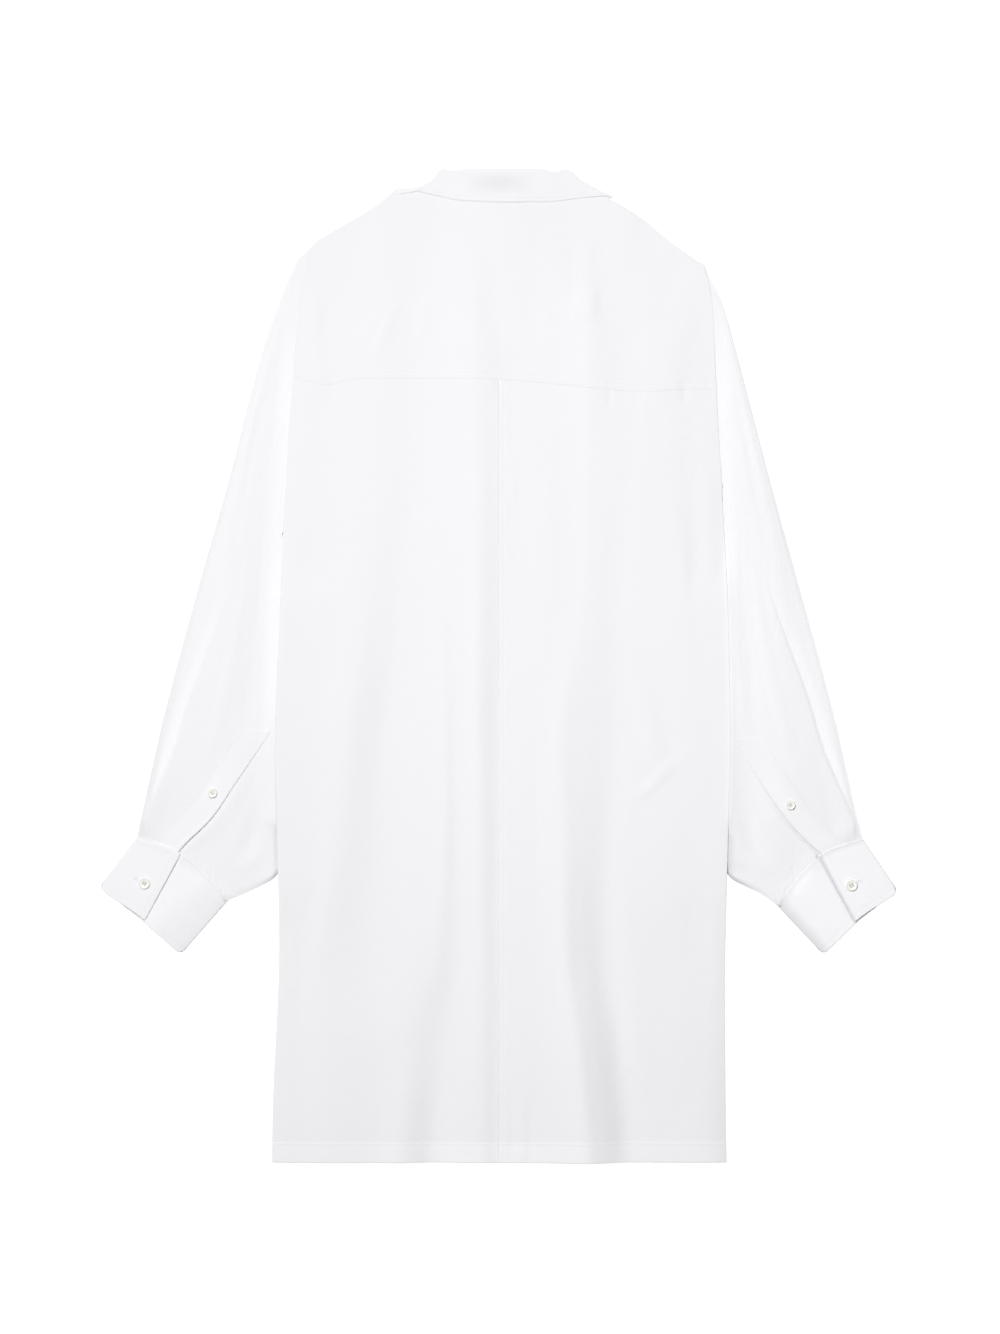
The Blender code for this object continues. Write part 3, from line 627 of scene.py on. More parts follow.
def fold_height(folds, x, down):
    """Sum of the folds at one place; each dies away towards both of its ends."""
    total = 0.0
    for fold in folds:
        start, end = fold.path[0][1], fold.path[-1][1]
        if not start < down < end:
            continue
        off = x - curve([(d, px) for px, d in fold.path], down)
        off /= fold.right if off > 0 else -fold.left
        if off < 1:
            along = (down - start) / (end - start)
            taper = smooth(min(along, 1 - along) * 2.6)
            total += fold.height * (0.5 + 0.5 * math.cos(math.pi * off)) * taper
    return total


def side_roll(x, down):
    """How far the body's side has gone down: sewn flat at the armhole, a free fold below it."""
    inboard = body_edge(side_of(x), down) - abs(x)
    free = onset(down, UNDERARM - 20, 30)
    return roll(inboard, 1.2 + 1.6 * free, 0.3 + (0.5 - 0.3 * side_of(x)) * free)


def back_spot(side, share, part):
    """A place on a back panel: `share` from centre seam to side, `part` from yoke to hem."""
    level = STATIONS[0] + part * (LENGTH - STATIONS[0])
    inner = LAP_EDGE if side > 0 else LAP_EDGE + CENTRE_LAP
    x = inner + share * (side * body_edge(side, level) - inner)
    top = yoke_seam(x) - YOKE_LAP
    down = top + part * (LENGTH - top)
    hem, white = hem_shape(x, down)
    z = back_floor(x, down) + bridged(x, down, curve(crease_line(level), x)) + CLOTH + hem
    z += fold_height(BODY_FOLDS, x, down) + crumple(x, down)
    past = down - yoke_seam(x)
    beside = BESIDE_LAP * math.exp(-max(past, 0.0) / 4.0)
    z -= UNDER_LAP + (beside - UNDER_LAP) * onset(past, -0.5, 0.5)
    z += 0.2 * math.exp(-max(past, 0.0) / 9.0) * uneven(x / 5.5, 1.5, 0.5) - side_roll(x, down)
    if side < 0:
        z -= UNDER_LAP * onset(x, LAP_EDGE, 0.5) + 0.1 * math.exp((x - LAP_EDGE) / 3.0)
        return x, down, z, white
    start, rise, end, fall = BRIGHT_SIDE
    inboard = body_edge(side, down) - abs(x)
    # painted highlight along the right side's edge
    white += 2.8 * math.exp(-inboard / 2.2) * onset(down, start, rise) * fade(down, end, fall)
    lap = fade(x, LAP_STITCHES[1] + 0.9, 1.2)
    z += 0.15 * lap - roll(x - LAP_EDGE, 0.8, 0.3) - 0.16 * bell(x - LAP_STITCHES[1], 0.7)
    z += 0.10 * lap * uneven(2.5, down / 4.5, 0.5)
    return x, down, z, white + 0.15 * lap


for side, word in SIDES.items():
    across = mesh_lines(BACK_WIDE, 2.8, LAP_STITCHES[1:] if side > 0 else (CENTRE_LAP,))
    along = mesh_lines(BACK_LONG, 3.8, (YOKE_LAP, BACK_LONG - HEM_WIDE))
    back = cloth_sheet(f"back_panel_{word}", across[::side], along, partial(back_spot, side),
                       body_poplin)
    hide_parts(f"back_{word}")
    ends = (LAP_EDGE + 0.5 * side, side * (body_edge(side, LENGTH) - 1))
    paths = [[(x, HEM_ROW) for x in ends]]
    paths += [[(x, yoke_seam(x) + 1.5), (x, LENGTH - 1.0)] for x in LAP_STITCHES if side > 0]
    rows = stitching(f"back_seam_rows_{word}", surface(back), paths)

# ---- yoke --------------------------------------------------------------------
# One piece across both shoulders, lapped over the tops of the back panels and edge-stitched.
# Its neckline stands a little, where the collar holds it up.
NECK_HIGH = 6.5
NECK_HALF = 78.0
YOKE_WIDE, YOKE_LONG = 425.0, 185.0
YOKE_ROWS = (1.8, 7.0)    # rows of stitching, up from the seam


def neck_level(x):
    """Underside of the yoke along the neckline."""
    out = min(abs(x - CENTRE) / NECK_HALF, 1.0)
    return LEAF_RISE + (NECK_HIGH - LEAF_RISE) * (1 - out ** 4)


def yoke_spot(across, part):
    """A place on the yoke: `across` from -1 at the left side to 1 at the right."""
    side = side_of(across)
    x_low = across * body_edge(side, STATIONS[0])
    x_top = across * body_edge(side, SHOULDER_TIP[side])
    under_leaf = onset(abs(x_top), 86, 8) * fade(abs(x_top), 103, 6)
    top = curve(YOKE_TOP, x_top) - 2.2 * under_leaf
    down = top + part * (yoke_seam(x_low) - top)
    x = across * body_edge(side, down) if abs(across) > 0.97 else x_top + part * (x_low - x_top)
    bare = back_floor(x, down)
    neck = max(neck_level(x) - bare, 0.2) if abs(x_top - CENTRE) < NECK_HALF else 0.2
    rise = between(neck, curve(crease_line(STATIONS[0]), x_low), smooth(part))
    z = bare + bridged(x, down, rise) + CLOTH
    z += fold_height(BODY_FOLDS, x, down) + crumple(x, down)
    up = yoke_seam(x_low) - down
    lap = fade(up, YOKE_ROWS[1], 1.4)
    z += 0.1 * lap - roll(up, 0.9, 0.12) - 0.1 * bell(up - YOKE_ROWS[0], 0.6)
    z += 0.2 * math.exp(-up / 9.0) * uneven(x / 5.5, 1.5, 0.5)
    z -= side_roll(x, down) + roll(down - top, 1.2, 0.5)
    return x, down, z, 0.12 * lap


yoke = cloth_sheet(
    "yoke_panel", [2 * share - 1 for share in mesh_lines(YOKE_WIDE, 3.0)],
    mesh_lines(YOKE_LONG, 3.2, [YOKE_LONG - up for up in YOKE_ROWS]), yoke_spot, body_poplin)
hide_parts("yoke")
yoke_rows = stitching("yoke_seam_rows", surface(yoke),
                      [[(x, yoke_seam(x) - up) for x in range(-204, 216, 4)] for up in YOKE_ROWS])

# ---- front bands -------------------------------------------------------------
# Buttonhole band and button band, each a straight strip folded double with a row of
# stitching near both edges; the buttonhole band is nearer to the surface.
band_poplin = poplin("band poplin", 2.5)
BAND_STITCH = 14.5
BAND_LONG = 900.0
FRONT_BUTTONS = 7
FIRST_BUTTON = 150.0
BUTTON_STEP = 105.0
FRONT_HOLE = (7, 15)      # a buttonhole begins this far above its button and is this long


def band_spot(level, across, part):
    top = FRONT_NECK[0][1] + SEAM
    down = top + part * (LENGTH - top)
    edge = min(BAND_HALF - abs(across), LENGTH - down, down - top)
    sunk = 0.12 * bell(abs(across) - BAND_STITCH, 0.7)
    return CENTRE + across, down, level + roll(edge, 0.9, 0.35) + sunk, 0.5


for name, level, node in (("buttonhole_band", RISE_OVER_BUTTON, "front_band_over"),
                          ("button_band", RISE_UNDER_BAND, "front_band_under")):
    shares = mesh_lines(2 * BAND_HALF, 4.0, (BAND_HALF - BAND_STITCH, BAND_HALF + BAND_STITCH))
    across = [BAND_HALF * (2 * share - 1) for share in shares]
    band = cloth_sheet(name, across, mesh_lines(BAND_LONG, 18.0), partial(band_spot, level),
                       band_poplin, wall=1.0, offset=1)
    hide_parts(node)
    paths = [[(x, FRONT_NECK[0][1] + 3), (x, LENGTH - 2)]
             for x in (CENTRE - BAND_STITCH, CENTRE + BAND_STITCH)]
    above, long = FRONT_HOLE
    holes = [((CENTRE, FIRST_BUTTON + n * BUTTON_STEP - above), (0, 1), long)
             for n in range(FRONT_BUTTONS) if level == RISE_OVER_BUTTON]
    rows = stitching(f"{name}_rows", surface(band, below=True), paths, holes)

# ---- collar ------------------------------------------------------------------
# A stand round the neck and a leaf that turns over it, both double and stiffened, with the
# leaf's points under the fronts.  The leaf rolls over the stand's upper edge.
collar_poplin = poplin("collar poplin", 2.0)
StandRow = namedtuple("StandRow", "seam_out seam_down seam_z fold_out fold_down fold_z")
STAND = (
    StandRow(0, 26.0, 7.3, 0, 2.6, 7.6),
    StandRow(36, 25.2, 6.9, 34, 2.8, 7.2),
    StandRow(60, 21.6, 5.6, 55, 4.6, 6.0),
    StandRow(72.4, 19.4, 4.2, 65, 9.0, 4.5),
    StandRow(73.6, 24.0, 2.5, 66, 14.0, 2.5),
    StandRow(70.4, 36.0, 2.4, 61, 23.0, 2.4),
    StandRow(55.6, 65.8, 2.4, 46, 43.0, 2.4),
    StandRow(34.0, 85.4, 2.8, 26, 60.0, 2.8),
)
STAND_END = 13.0
STAND_DEEP = 28.0
STAND_FRONT = (91.0, 66.0)    # down to its seam and its fold at the centre front
LeafRow = namedtuple("LeafRow", "fold_out fold_down edge_out edge_down z_fold z_edge",
                     defaults=(0.7, 0.7))    # flat on the surface where it lies under the fronts
LEAF = {
    -1: [LeafRow(*row) for row in (
        (0, 0.0, 0, 33.5, 9.5, 9.3),
        (34, 0.2, 38, 31.6, 9.1, 8.9),
        (46.5, 2.0, 53, 29.2, 8.7, 8.1),
        (59.5, 0.3, 69, 25.4, 8.1, 6.8),
        (67, 10.0, 86, 21.6, 7.0, 6.3),
        (72, 18.0, 98, 20.4, 6.2, 5.9),
        (74, 19.9, 104.2, 24.4, 5.8, 5.6),
        (74.5, 20.6, 103.4, 25.4, 3.4, 3.4),
        (74, 22.6, 101.0, 28.4),
        (64, 36.0, 101, 48.0),
        (48, 50.0, 84, 92.0),
        (28, 63.0, 62, 124.0),
        (9, 69.0, 46, 138.0),
    )],
    1: [LeafRow(*row) for row in (
        (0, 0.0, 0, 33.5, 9.5, 9.3),
        (38, 0.0, 44, 33.0, 9.1, 8.9),
        (52, 3.0, 59, 31.8, 8.5, 7.7),
        (66, 0.8, 76, 29.5, 7.7, 6.5),
        (79, 11.0, 103, 26.6, 6.5, 6.1),
        (82, 13.0, 110.4, 27.8, 5.8, 5.6),
        (83, 15.4, 105.0, 29.6, 3.4, 3.4),
        (81, 19.6, 101.4, 31.0),
        (70, 36.0, 103, 50.0),
        (50, 50.0, 85, 93.0),
        (28, 63.0, 62, 125.0),
        (9, 69.0, 46, 138.0),
    )],
}


def spread(rows, steps):
    """A table's rows with `steps` smooth rows for each gap between two of them."""
    knots = [[(i * steps, value) for i, value in enumerate(column)] for column in zip(*rows)]
    row = type(rows[0])
    return [row(*(curve(k, at) for k in knots)) for at in range((len(rows) - 1) * steps + 1)]


def stand_rows(z):
    """The rows of one side of the stand, with the part that laps at the centre front."""
    seam, fold = STAND_FRONT
    return spread(STAND + (StandRow(14, seam - 0.6, z, 10, fold - 1.5, z),
                           StandRow(-STAND_END, seam - 0.6, z, -STAND_END, fold, z)), 8)


def stand_spot(section, part):
    side, row = section
    x = row.fold_out + part * (row.seam_out - row.fold_out)
    down = row.fold_down + part * (row.seam_down - row.fold_down)
    return CENTRE + side * x, down, row.fold_z + part * (row.seam_z - row.fold_z), 0.5


sections = [(-1, row) for row in stand_rows(RISE_UNDER_BAND + CLOTH / 2)[:0:-1]]
sections += [(1, row) for row in stand_rows(RISE_OVER_BUTTON + CLOTH / 2)]
stand = cloth_sheet("neck_stand", sections, mesh_lines(STAND_DEEP, 2.5), stand_spot, collar_poplin,
                    wall=1.0, offset=0)
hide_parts("collar_stand")

LEAF_STEPS = 10
LEAF_DEEP = 34.0
LEAF_ROW = 29.0                    # its row of stitching, out from the fold
LEAF_LEAD = 0.9                    # the roll reaches this far beyond the stand's edge
LEAF_GAP = 1.7                     # height of the leaf over the stand
LEAF_ROLL = {-1: 0.75, 1: 1.0}     # how far the free edge has rolled down
ROLL_PARTS = (-1.0, -0.8, -0.6, -0.4, -0.2)   # round the fold, from the stand to the leaf
ON_YOKE, OVER, UNDER = 5.0, 3.4, 3.0   # height of the fold: on the yoke, over the stand, under it
DENT_HALF = 44.0                   # half width of a painted shade behind the neck, where the leaf rises a little


def leaf_spot(section, part):
    """A place on the leaf; negative parts are the roll over the stand's edge."""
    side, row, inward = section
    fold = Vector((row.fold_out, row.fold_down, row.z_fold))
    edge = Vector((row.edge_out, row.edge_down, row.z_edge))
    ground = on_yoke(CENTRE + side * edge.x, edge.y) if row.z_fold > ON_YOKE else None
    edge.z = ground + 0.55 if ground is not None else edge.z
    flat = Vector((edge.x - fold.x, edge.y - fold.y, 0)).normalized()
    if part < 0:
        radius = inward / 2
        angle = math.pi * -part
        spot = fold + flat * (LEAF_LEAD - LEAF_LEAD * math.sin(angle))
        spot -= Vector((0, 0, radius * (1 - math.cos(angle))))
        spot += flat * 1.6 * smooth((-part - 0.5) * 2)
    else:
        spot = fold + flat * LEAF_LEAD + part * (edge - fold - flat * LEAF_LEAD)
        if row.z_fold > OVER:
            ease = 1 - 0.6 * onset(edge.x, 96, 12)
            spot.z -= LEAF_ROLL[side] * ease * onset(part, 0.955, 0.045)
        crisp = 0.25 * uneven(side * spot.x / 16, spot.y / 14, 4.4)
        spot.z += crisp * smooth(part * 4) if row.z_fold > UNDER else abs(crisp) * 0.5
    x, down = CENTRE + side * spot.x, spot.y
    dent = smooth(1 - abs(x + 0.5) / DENT_HALF) * onset(down, 1.0, 10.0) * fade(down, 15.0, 14.0)
    # painted shade behind the neck: the patch is painted darker
    return x, down, max(spot.z + 0.4 * dent, 0.5), 0.25 - 1.75 * dent


def leaf_sections(side):
    """Rows of one half of the leaf, each with its height over the stand."""
    return [(side, row, LEAF_GAP if row.z_fold > OVER else -LEAF_GAP)
            for row in spread(LEAF[side], LEAF_STEPS)]


on_yoke = surface(yoke)
sections = leaf_sections(-1)[:0:-1] + leaf_sections(1)
leaf_parts = mesh_lines(LEAF_DEEP, 2.2, (LEAF_ROW, 32.5, 33.3))
leaf = cloth_sheet("collar_leaf_cloth", sections, list(ROLL_PARTS) + leaf_parts,
                   leaf_spot, collar_poplin, wall=0.9, offset=0)
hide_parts("collar_leaf")
sewn = bmesh.new()
for below in (False, True):
    path = [leaf_spot(section, LEAF_ROW / LEAF_DEEP)[:2] for section in sections
            if (section[1].z_fold < UNDER) == below]
    turn = len(path) // 2 if below else len(path)
    for run in (path[:turn], path[turn:]):
        sew(sewn, run, surface(leaf, below))
leaf_row = add_piece("collar_leaf_row", sewn, thread.material)

# ---- sleeves -----------------------------------------------------------------
# Long full sleeves, each a flattened tube sewn into the dropped armhole and gathered into its
# cuff, with a pressed pleat near the outer edge.  Below the underarm they run under the body.
sleeve_poplin = poplin("sleeve poplin", 1.0)
SLEEVE_OUTER = {      # out, down
    -1: ((191.2, 80.5), (200.5, 90), (210.5, 110), (218.5, 130), (232.5, 170), (249.5, 230),
         (269.5, 310), (292.5, 390), (314.5, 470), (335.5, 550), (353.5, 630), (361.5, 668)),
    1: ((205.8, 95.5), (212.5, 110), (222.5, 130), (234.5, 170), (250.5, 230),
        (271.5, 310), (293.5, 390), (315.5, 470), (336.5, 550), (354.5, 630), (364.5, 670)),
}
SLEEVE_INNER = (      # down, in from the side of the body
    (UNDERARM, -0.2), (438, 4), (458, 7), (478, 9), (500, 12), (530, 18), (565, 30), (600, 37),
    (640, 36), (672, 21), (690, 8), (702, 1), (709, -5), (716, -18), (723, -33),
)
CUFF_SEAM = {
    -1: ((361.5, 668), (320.5, 683), (270.5, 730)),
    1: ((364.5, 670), (322.5, 686), (278.5, 735)),
}
SLIT = {              # out, down along the slit above the cuff
    -1: ((320.5, 681), (286.5, 648), (264.5, 616), (236, 574)),
    1: ((321.0, 684), (294.5, 658), (274.5, 632), (242, 582)),
}
# how dark the painted shade along each slit is
PAINTED_SLIT_SHADE = {-1: 0.8, 1: 3.2}
SLIT_ABOVE = 16.0                # its groove begins this far above it
SLIT_SLANT = 0.78                # true distance from the slit for one across
PLEAT_SLANT = 0.92               # and from the pleat
PLEAT = ((376, 258.5), (430, 273.5), (530, 309.5), (580, 324.5), (619, 341.5), (653, 356.5))
RIM_FALL = {-1: 1.0, 1: 0.3}     # how much a sleeve comes down towards its outer fold
SLEEVE_PUFF = 3.0
PUFF_FADE = 60.0
SLEEVE_FOLDS = (      # along the sleeve: (share across, share along)
    Fold(((0.42, 0.18), (0.45, 0.45), (0.48, 0.80)), 0.10, 0.10, -0.9),
    Fold(((0.60, 0.30), (0.62, 0.55), (0.66, 0.86)), 0.09, 0.09, -0.8),
    Fold(((0.30, 0.35), (0.31, 0.60), (0.33, 0.88)), 0.07, 0.07, 0.7),
    Fold(((0.74, 0.70), (0.76, 0.82), (0.78, 0.93)), 0.09, 0.09, -1.1),
    Fold(((0.86, 0.74), (0.85, 0.85), (0.84, 0.95)), 0.06, 0.06, 0.4),
    Fold(((0.18, 0.10), (0.16, 0.30), (0.14, 0.55)), 0.08, 0.08, -0.6),
)
GATHER = 7.0                     # one gather at the cuff, crest to crest
INTO_CUFF = 3.5
SLEEVE_LONG = 560.0
SLEEVE_HALF = 250.0              # round one layer


@lru_cache(maxsize=None)
def armhole(side, t):
    tip = SHOULDER_TIP[side] + 0.5
    down = tip + t * (UNDERARM - tip)
    return body_edge(side, down) + 0.2, down


@lru_cache(maxsize=None)
def sleeve_edges(side, v):
    """Outer and underarm edge of a sleeve at the share `v` from armhole to cuff."""
    outer = trace((armhole(side, 0),) + SLEEVE_OUTER[side][1:], v)
    line = [(body_edge(side, down) - inboard, down) for down, inboard in SLEEVE_INNER]
    return outer, trace([armhole(side, 1)] + line[1:] + [CUFF_SEAM[side][2]], v)


@lru_cache(maxsize=None)
def cuff_seam(side, s):
    return trace(CUFF_SEAM[side], s)


def sleeve_plan(side, s, v):
    """Plan of a sleeve: `s` outer edge to underarm, `v` armhole to cuff."""
    outer, inner = sleeve_edges(side, v)
    top, low = armhole(side, s), cuff_seam(side, s)
    point = []
    for n in range(2):
        edges = between(outer[n], inner[n], s)
        corners = between(between(armhole(side, 0)[n], armhole(side, 1)[n], s),
                          between(cuff_seam(side, 0)[n], cuff_seam(side, 1)[n], s), v)
        point.append(between(top[n], low[n], v) + edges - corners)
    return point


@lru_cache(maxsize=None)
def sleeve_chord(side, v):
    a, b, c = (sleeve_plan(side, s, v) for s in (0.0, 0.5, 1.0))
    return math.dist(a, b) + math.dist(b, c)


def pleat_height(side, beyond, from_fold, puff):
    """Height beside the pleat: a flat strip outside it, inside it a step that sinks to the puff."""
    strip = 1.5 - 1.5 * RIM_FALL[side] * fade(from_fold, 0, 4.0)
    if beyond > 0:
        return strip
    step = (1 - roll(-beyond, 1.2, 1.0)) * fade(-beyond, 3, 20.0)
    return strip + (puff - strip) * smooth(-beyond / 22.0) + step


def slit_relief(side, out, down):
    """Height of the groove that runs up from the cuff beside the placket, and the painted shade
    along it.
    """
    slit = SLIT[side]
    top = slit[-1][1] - SLIT_ABOVE
    if down <= top:
        return 0.0, 0.0
    off = (out - curve(tuple((d, o) for o, d in slit[::-1]), down)) * SLIT_SLANT
    near = onset(down, top, 110)
    groove = near * (0.5 + 0.5 * near) * bell(off + 0.7, 1.2)
    bank = 0.8 * near * smooth(-(off + 1.0) / 2.5) * fade(-off, 4, 16.0)
    return bank - groove, PAINTED_SLIT_SHADE[side] * near * bell(off + 0.6, 1.3)


def gather_height(side, s, v, chord):
    """Uneven gathers that run up from the cuff, fullest towards the underarm."""
    to_cuff = (1 - v) * SLEEVE_LONG
    full = 0.25 + 0.75 * onset(s, 0.55, 0.2)
    ragged = 0.5 + uneven(s * 14, 6.0, side)
    waves = math.sin(2 * math.pi * s * chord / GATHER + 3.0 * uneven(s * 9, 2.0, side))
    waves *= max(ragged, 0.1) * fade(to_cuff, 0, 18.0 + 24.0 * ragged)
    return 0.6 * full * (waves + fade(to_cuff, 0, 16.0)) * smooth(min(s, 1 - s) * chord / 8.0)


def sleeve_relief(side, out, down, s, v, chord):
    """Height of the upper layer over the stack, and its whiteness: whiter where the pleat doubles
    the cloth and in a strip beside the body, with painted shade along the pleat's inner line and
    along the slit.
    """
    outboard = out - body_edge(side, down)
    from_fold, edge = s * chord, min(s, 1 - s) * chord
    puff = SLEEVE_PUFF * smooth(outboard / PUFF_FADE)
    puff *= 0.2 * smooth(edge / 8.0) + 0.8 * smooth(edge / 40.0)
    puff *= 1 - 0.8 * onset(v, 0.8, 0.2)
    pleated = onset(down, PLEAT[0][0], 130) * fade(v, 0.97, 0.03)
    beyond = (out - curve(PLEAT, down)) * PLEAT_SLANT
    pleat = pleat_height(side, beyond, from_fold, puff)
    z = puff + pleated * (pleat - puff) * fade(from_fold, 48, 12)
    low = onset(down, 500, 100)
    bright = (1.0 + 0.5 * low) * pleated * onset(beyond, 0.3, 1.2) * onset(from_fold, 4.0, 6.0)
    bright *= 1 - 0.75 * onset(beyond, 6.0, 7.0)
    # painted shade along the pleat's inner line
    bright -= (0.6 + 0.6 * low) * pleated * bell(beyond + 0.6, 1.1)
    slit, painted_slit_shade = slit_relief(side, out, down)
    z += fold_height(SLEEVE_FOLDS, s, v) * smooth(outboard / 30.0)
    z += slit + gather_height(side, s, v, chord)
    z += crumple(out, down + 400 * side, 0.35) * smooth(outboard / 12.0) * smooth(edge / 10.0)
    beside = fade(outboard, 7.0, 12.0) * onset(down, 120, 120) * fade(down, 520, 70)
    return z, max(bright - painted_slit_shade, 0.95 * beside)


TURN = ((0.0, 0.5), (0.05, 0.8), (0.16, 0.95), (0.4, 1.0), (0.7, 1.0))     # in from a fold, level
SLEEVE_COLUMNS = 100
UNDER_COLUMNS = 20


def sleeve_ring():
    """(share, millimetres more, level) round a sleeve: upper layer, underarm, lower layer."""
    ring = [(0.0, inset, level) for inset, level in TURN]
    ring += [(n / SLEEVE_COLUMNS, 0.0, 1.0) for n in range(1, SLEEVE_COLUMNS)]
    ring += [(1.0, -inset, level) for inset, level in TURN[::-1]]
    ring += [(1.0, -inset, 1 - level) for inset, level in TURN[1:]]
    ring += [(n / UNDER_COLUMNS, 0.0, 0.0) for n in range(UNDER_COLUMNS - 1, 0, -1)]
    ring += [(0.0, inset, 1 - level) for inset, level in TURN[:0:-1]]
    return ring + ring[:1]


BESIDE_COLUMN = 0.86        # column of the mesh that runs along the body's edge
BY_ARMHOLE = 0.12           # share of a sleeve that can lie under the body's edge at the armhole
GAP = {-1: 1.0, 1: 0.2}     # how open the gap beside the body is, just above the cuff, and how dark its painted shadow is


@lru_cache(maxsize=None)
def beside_body(side, v):
    """Share of the way across the sleeve at which it goes under the body."""
    low, high = 0.5, 1.0
    for _ in range(24):
        middle = (low + high) / 2
        out, down = sleeve_plan(side, middle, v)
        low, high = (middle, high) if out - body_edge(side, down) > 0.15 else (low, middle)
    return min(max(low, 0.6), 0.975)


def painted_sleeve_shading(side, down, s, chord, outboard):
    """Painted highlight and painted shadow beside a sleeve's outer fold, beside the body and where
    it meets the cuff.
    """
    from_fold = s * chord
    if side > 0:
        bright = 2.0 * fade(from_fold, 0, 3.0)
        bright += 1.5 * fade(outboard, 0.5, 4.0) * onset(down, 350, 40) * fade(down, 640, 12)
        bright -= 1.9 * fade(outboard, 1.5, 6.5) * onset(down, 660, 8)
    else:
        bright = -0.9 * fade(from_fold, 2.0, 8.0) * onset(down, 150, 200)
    # painted shadow under the sleeve's edge by the cuff
    under = bell(down - 707 - 2 * side, 8.0)
    return bright - 7.0 * under * fade((1 - s) * chord, 1.0, 4.0) * onset(s, 0.8, 0.1)


def sleeve_spot(side, around, v):
    """A place on a sleeve; `v` below 0 is tucked under the body, above 1 inside the cuff."""
    share, more, level = around
    tuck, in_cuff = -v, v > 1.0
    v = min(max(v, 0.0), 1.0)
    chord = sleeve_chord(side, v)
    s = share + more / chord
    if level == 1.0 and not more:
        meet = beside_body(side, v)
        beyond = (share - BESIDE_COLUMN) / (1 - BESIDE_COLUMN)
        last = 1 - 1.2 / chord
        s = share / BESIDE_COLUMN * meet if beyond < 0 else meet + beyond * max(last - meet, 0.002)
    out, down = sleeve_plan(side, s, v)
    outboard = out - body_edge(side, down)
    relief, bright = sleeve_relief(side, out, down, s, v, chord)
    lower = 1.25 * onset(v, 0.972, 0.026)
    lower += 0.76 * onset(s, 0.55, 0.15) * onset(down, 295, 12) * fade(down, 575, 15)
    upper = STACK + relief - 0.35 * onset(v, 0.985, 0.015)
    upper -= 0.9 * RIM_FALL[side] * fade(s * chord, 0, 7.0) * fade(v, 0.93, 0.04) * smooth(v / 0.1)
    upper += 0.1 if down < UNDERARM + 4 else 0.35 * fade(outboard, 4.0, 20.0)
    beside = onset(down, UNDERARM - 48, 64) * (1 - GAP[side] * onset(down, 652, 8))
    upper += 2.9 * beside * math.exp(-max(outboard, 0.0) / 9.0) * fade(down, 690, 14)
    # the cloth dips beside the body and at the lower inner corner, and is painted darker there:
    # painted shadow
    dip_and_painted_shadow = GAP[side] * onset(down, 656, 6) * fade(outboard, 1.0, 3.5)
    dip_and_painted_shadow = min(dip_and_painted_shadow + 0.3 * onset(v, 0.86, 0.06) * onset(s, 0.95, 0.05), 1.0)
    upper -= 0.8 * dip_and_painted_shadow * fade(v, 0.965, 0.02)
    bright += painted_sleeve_shading(side, down, s, chord, outboard) - 2.4 * dip_and_painted_shadow
    if v == 0.0 or v < BY_ARMHOLE and outboard < 0.21 and down > 320:      # under the body's edge
        deep = onset(down, 320, 30)
        out = min(out, body_edge(side, down) - 0.4 - 0.6 * deep)
        upper -= 1.0 * deep
    if v > 0.0 and outboard < 0.1 and down > TUCK["start"]:
        room = front_under(side * out, down, RISE_OVER_BUTTON) - 0.15
        upper = min(upper, max(room, 1.45))
    if tuck > 0 and level > 0.6:
        out -= 2.6 if tuck > 0.7 else 0.5
        upper = 1.55 if tuck > 0.7 else upper - 0.6
    if in_cuff:
        toward = Vector((out, down)) - Vector(sleeve_plan(side, s, 0.99))
        out, down = Vector((out, down)) + toward.normalized() * INTO_CUFF
        upper = 2.75
    return side * out, down, lower + level * (upper - lower), bright + 0.4


def sleeve_cut(around, v):
    share, more, level = around
    half = 1 if level >= 0.5 else -1
    return half * (share * SLEEVE_HALF + more), v * SLEEVE_LONG


for side, word in SIDES.items():
    along = mesh_lines(SLEEVE_LONG, 4.4, [SLEEVE_LONG - up for up in (4, 10, 16)])
    bm = sheet_mesh(sleeve_ring(), [-1.0, -0.5] + along + [2.0], partial(sleeve_spot, side),
                    sleeve_cut)
    bmesh.ops.remove_doubles(bm, verts=bm.verts[:], dist=0.005 * MM)
    bmesh.ops.recalc_face_normals(bm, faces=bm.faces[:])
    sleeve = add_cloth(f"sleeve_tube_{word}", bm, sleeve_poplin, 0.7, -1)
    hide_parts(f"sleeve_{word}")

# ---- cuffs -------------------------------------------------------------------
# Stiff double cuffs, each wound once round so that its buttonhole end laps over its button
# end, with stitching all round the edge.
cuff_poplin = poplin("cuff poplin", 2.5)
CUFF_HEM = {
    -1: ((399.8, 718), (355.5, 752), (318.5, 785)),
    1: ((399.8, 722), (359.5, 752), (325.5, 785)),
}
OVERLAP = (0.40, 0.52)     # where the upper end stops, at the seam and at the hem
UNDERLAP = (0.16, 0.28)
CUFF_WALL = 1.0
CUFF_LOW, CUFF_MID, CUFF_HIGH = CLOTH / 2, 1.5 * CLOTH + SEAM, 2.5 * CLOTH + 2 * SEAM
CUFF_ROUND = 116.0         # millimetres for a share of 1
CUFF_DEEP = 64.0
CUFF_ROW = 4.5             # stitching, in from the edges
CUFF_CORNERS = ((0.0, 8.0), (1.0, 6.0))   # at each fold, with the radius of its corner at the hem
CUFF_CUT = {               # place on the flat cut of each stretch: start, length
    "mid": (0.2, 0.8), "inner": (1.0, 0.01), "low": (1.01, 1.0),
    "outer": (2.01, 0.02), "high": (2.03, 0.45), "end": (2.48, 0.01),
}
CUFF_BUTTON = {-1: (353.5, 713), 1: (352.5, 715)}
CUFF_HOLE = 14             # length of its buttonhole


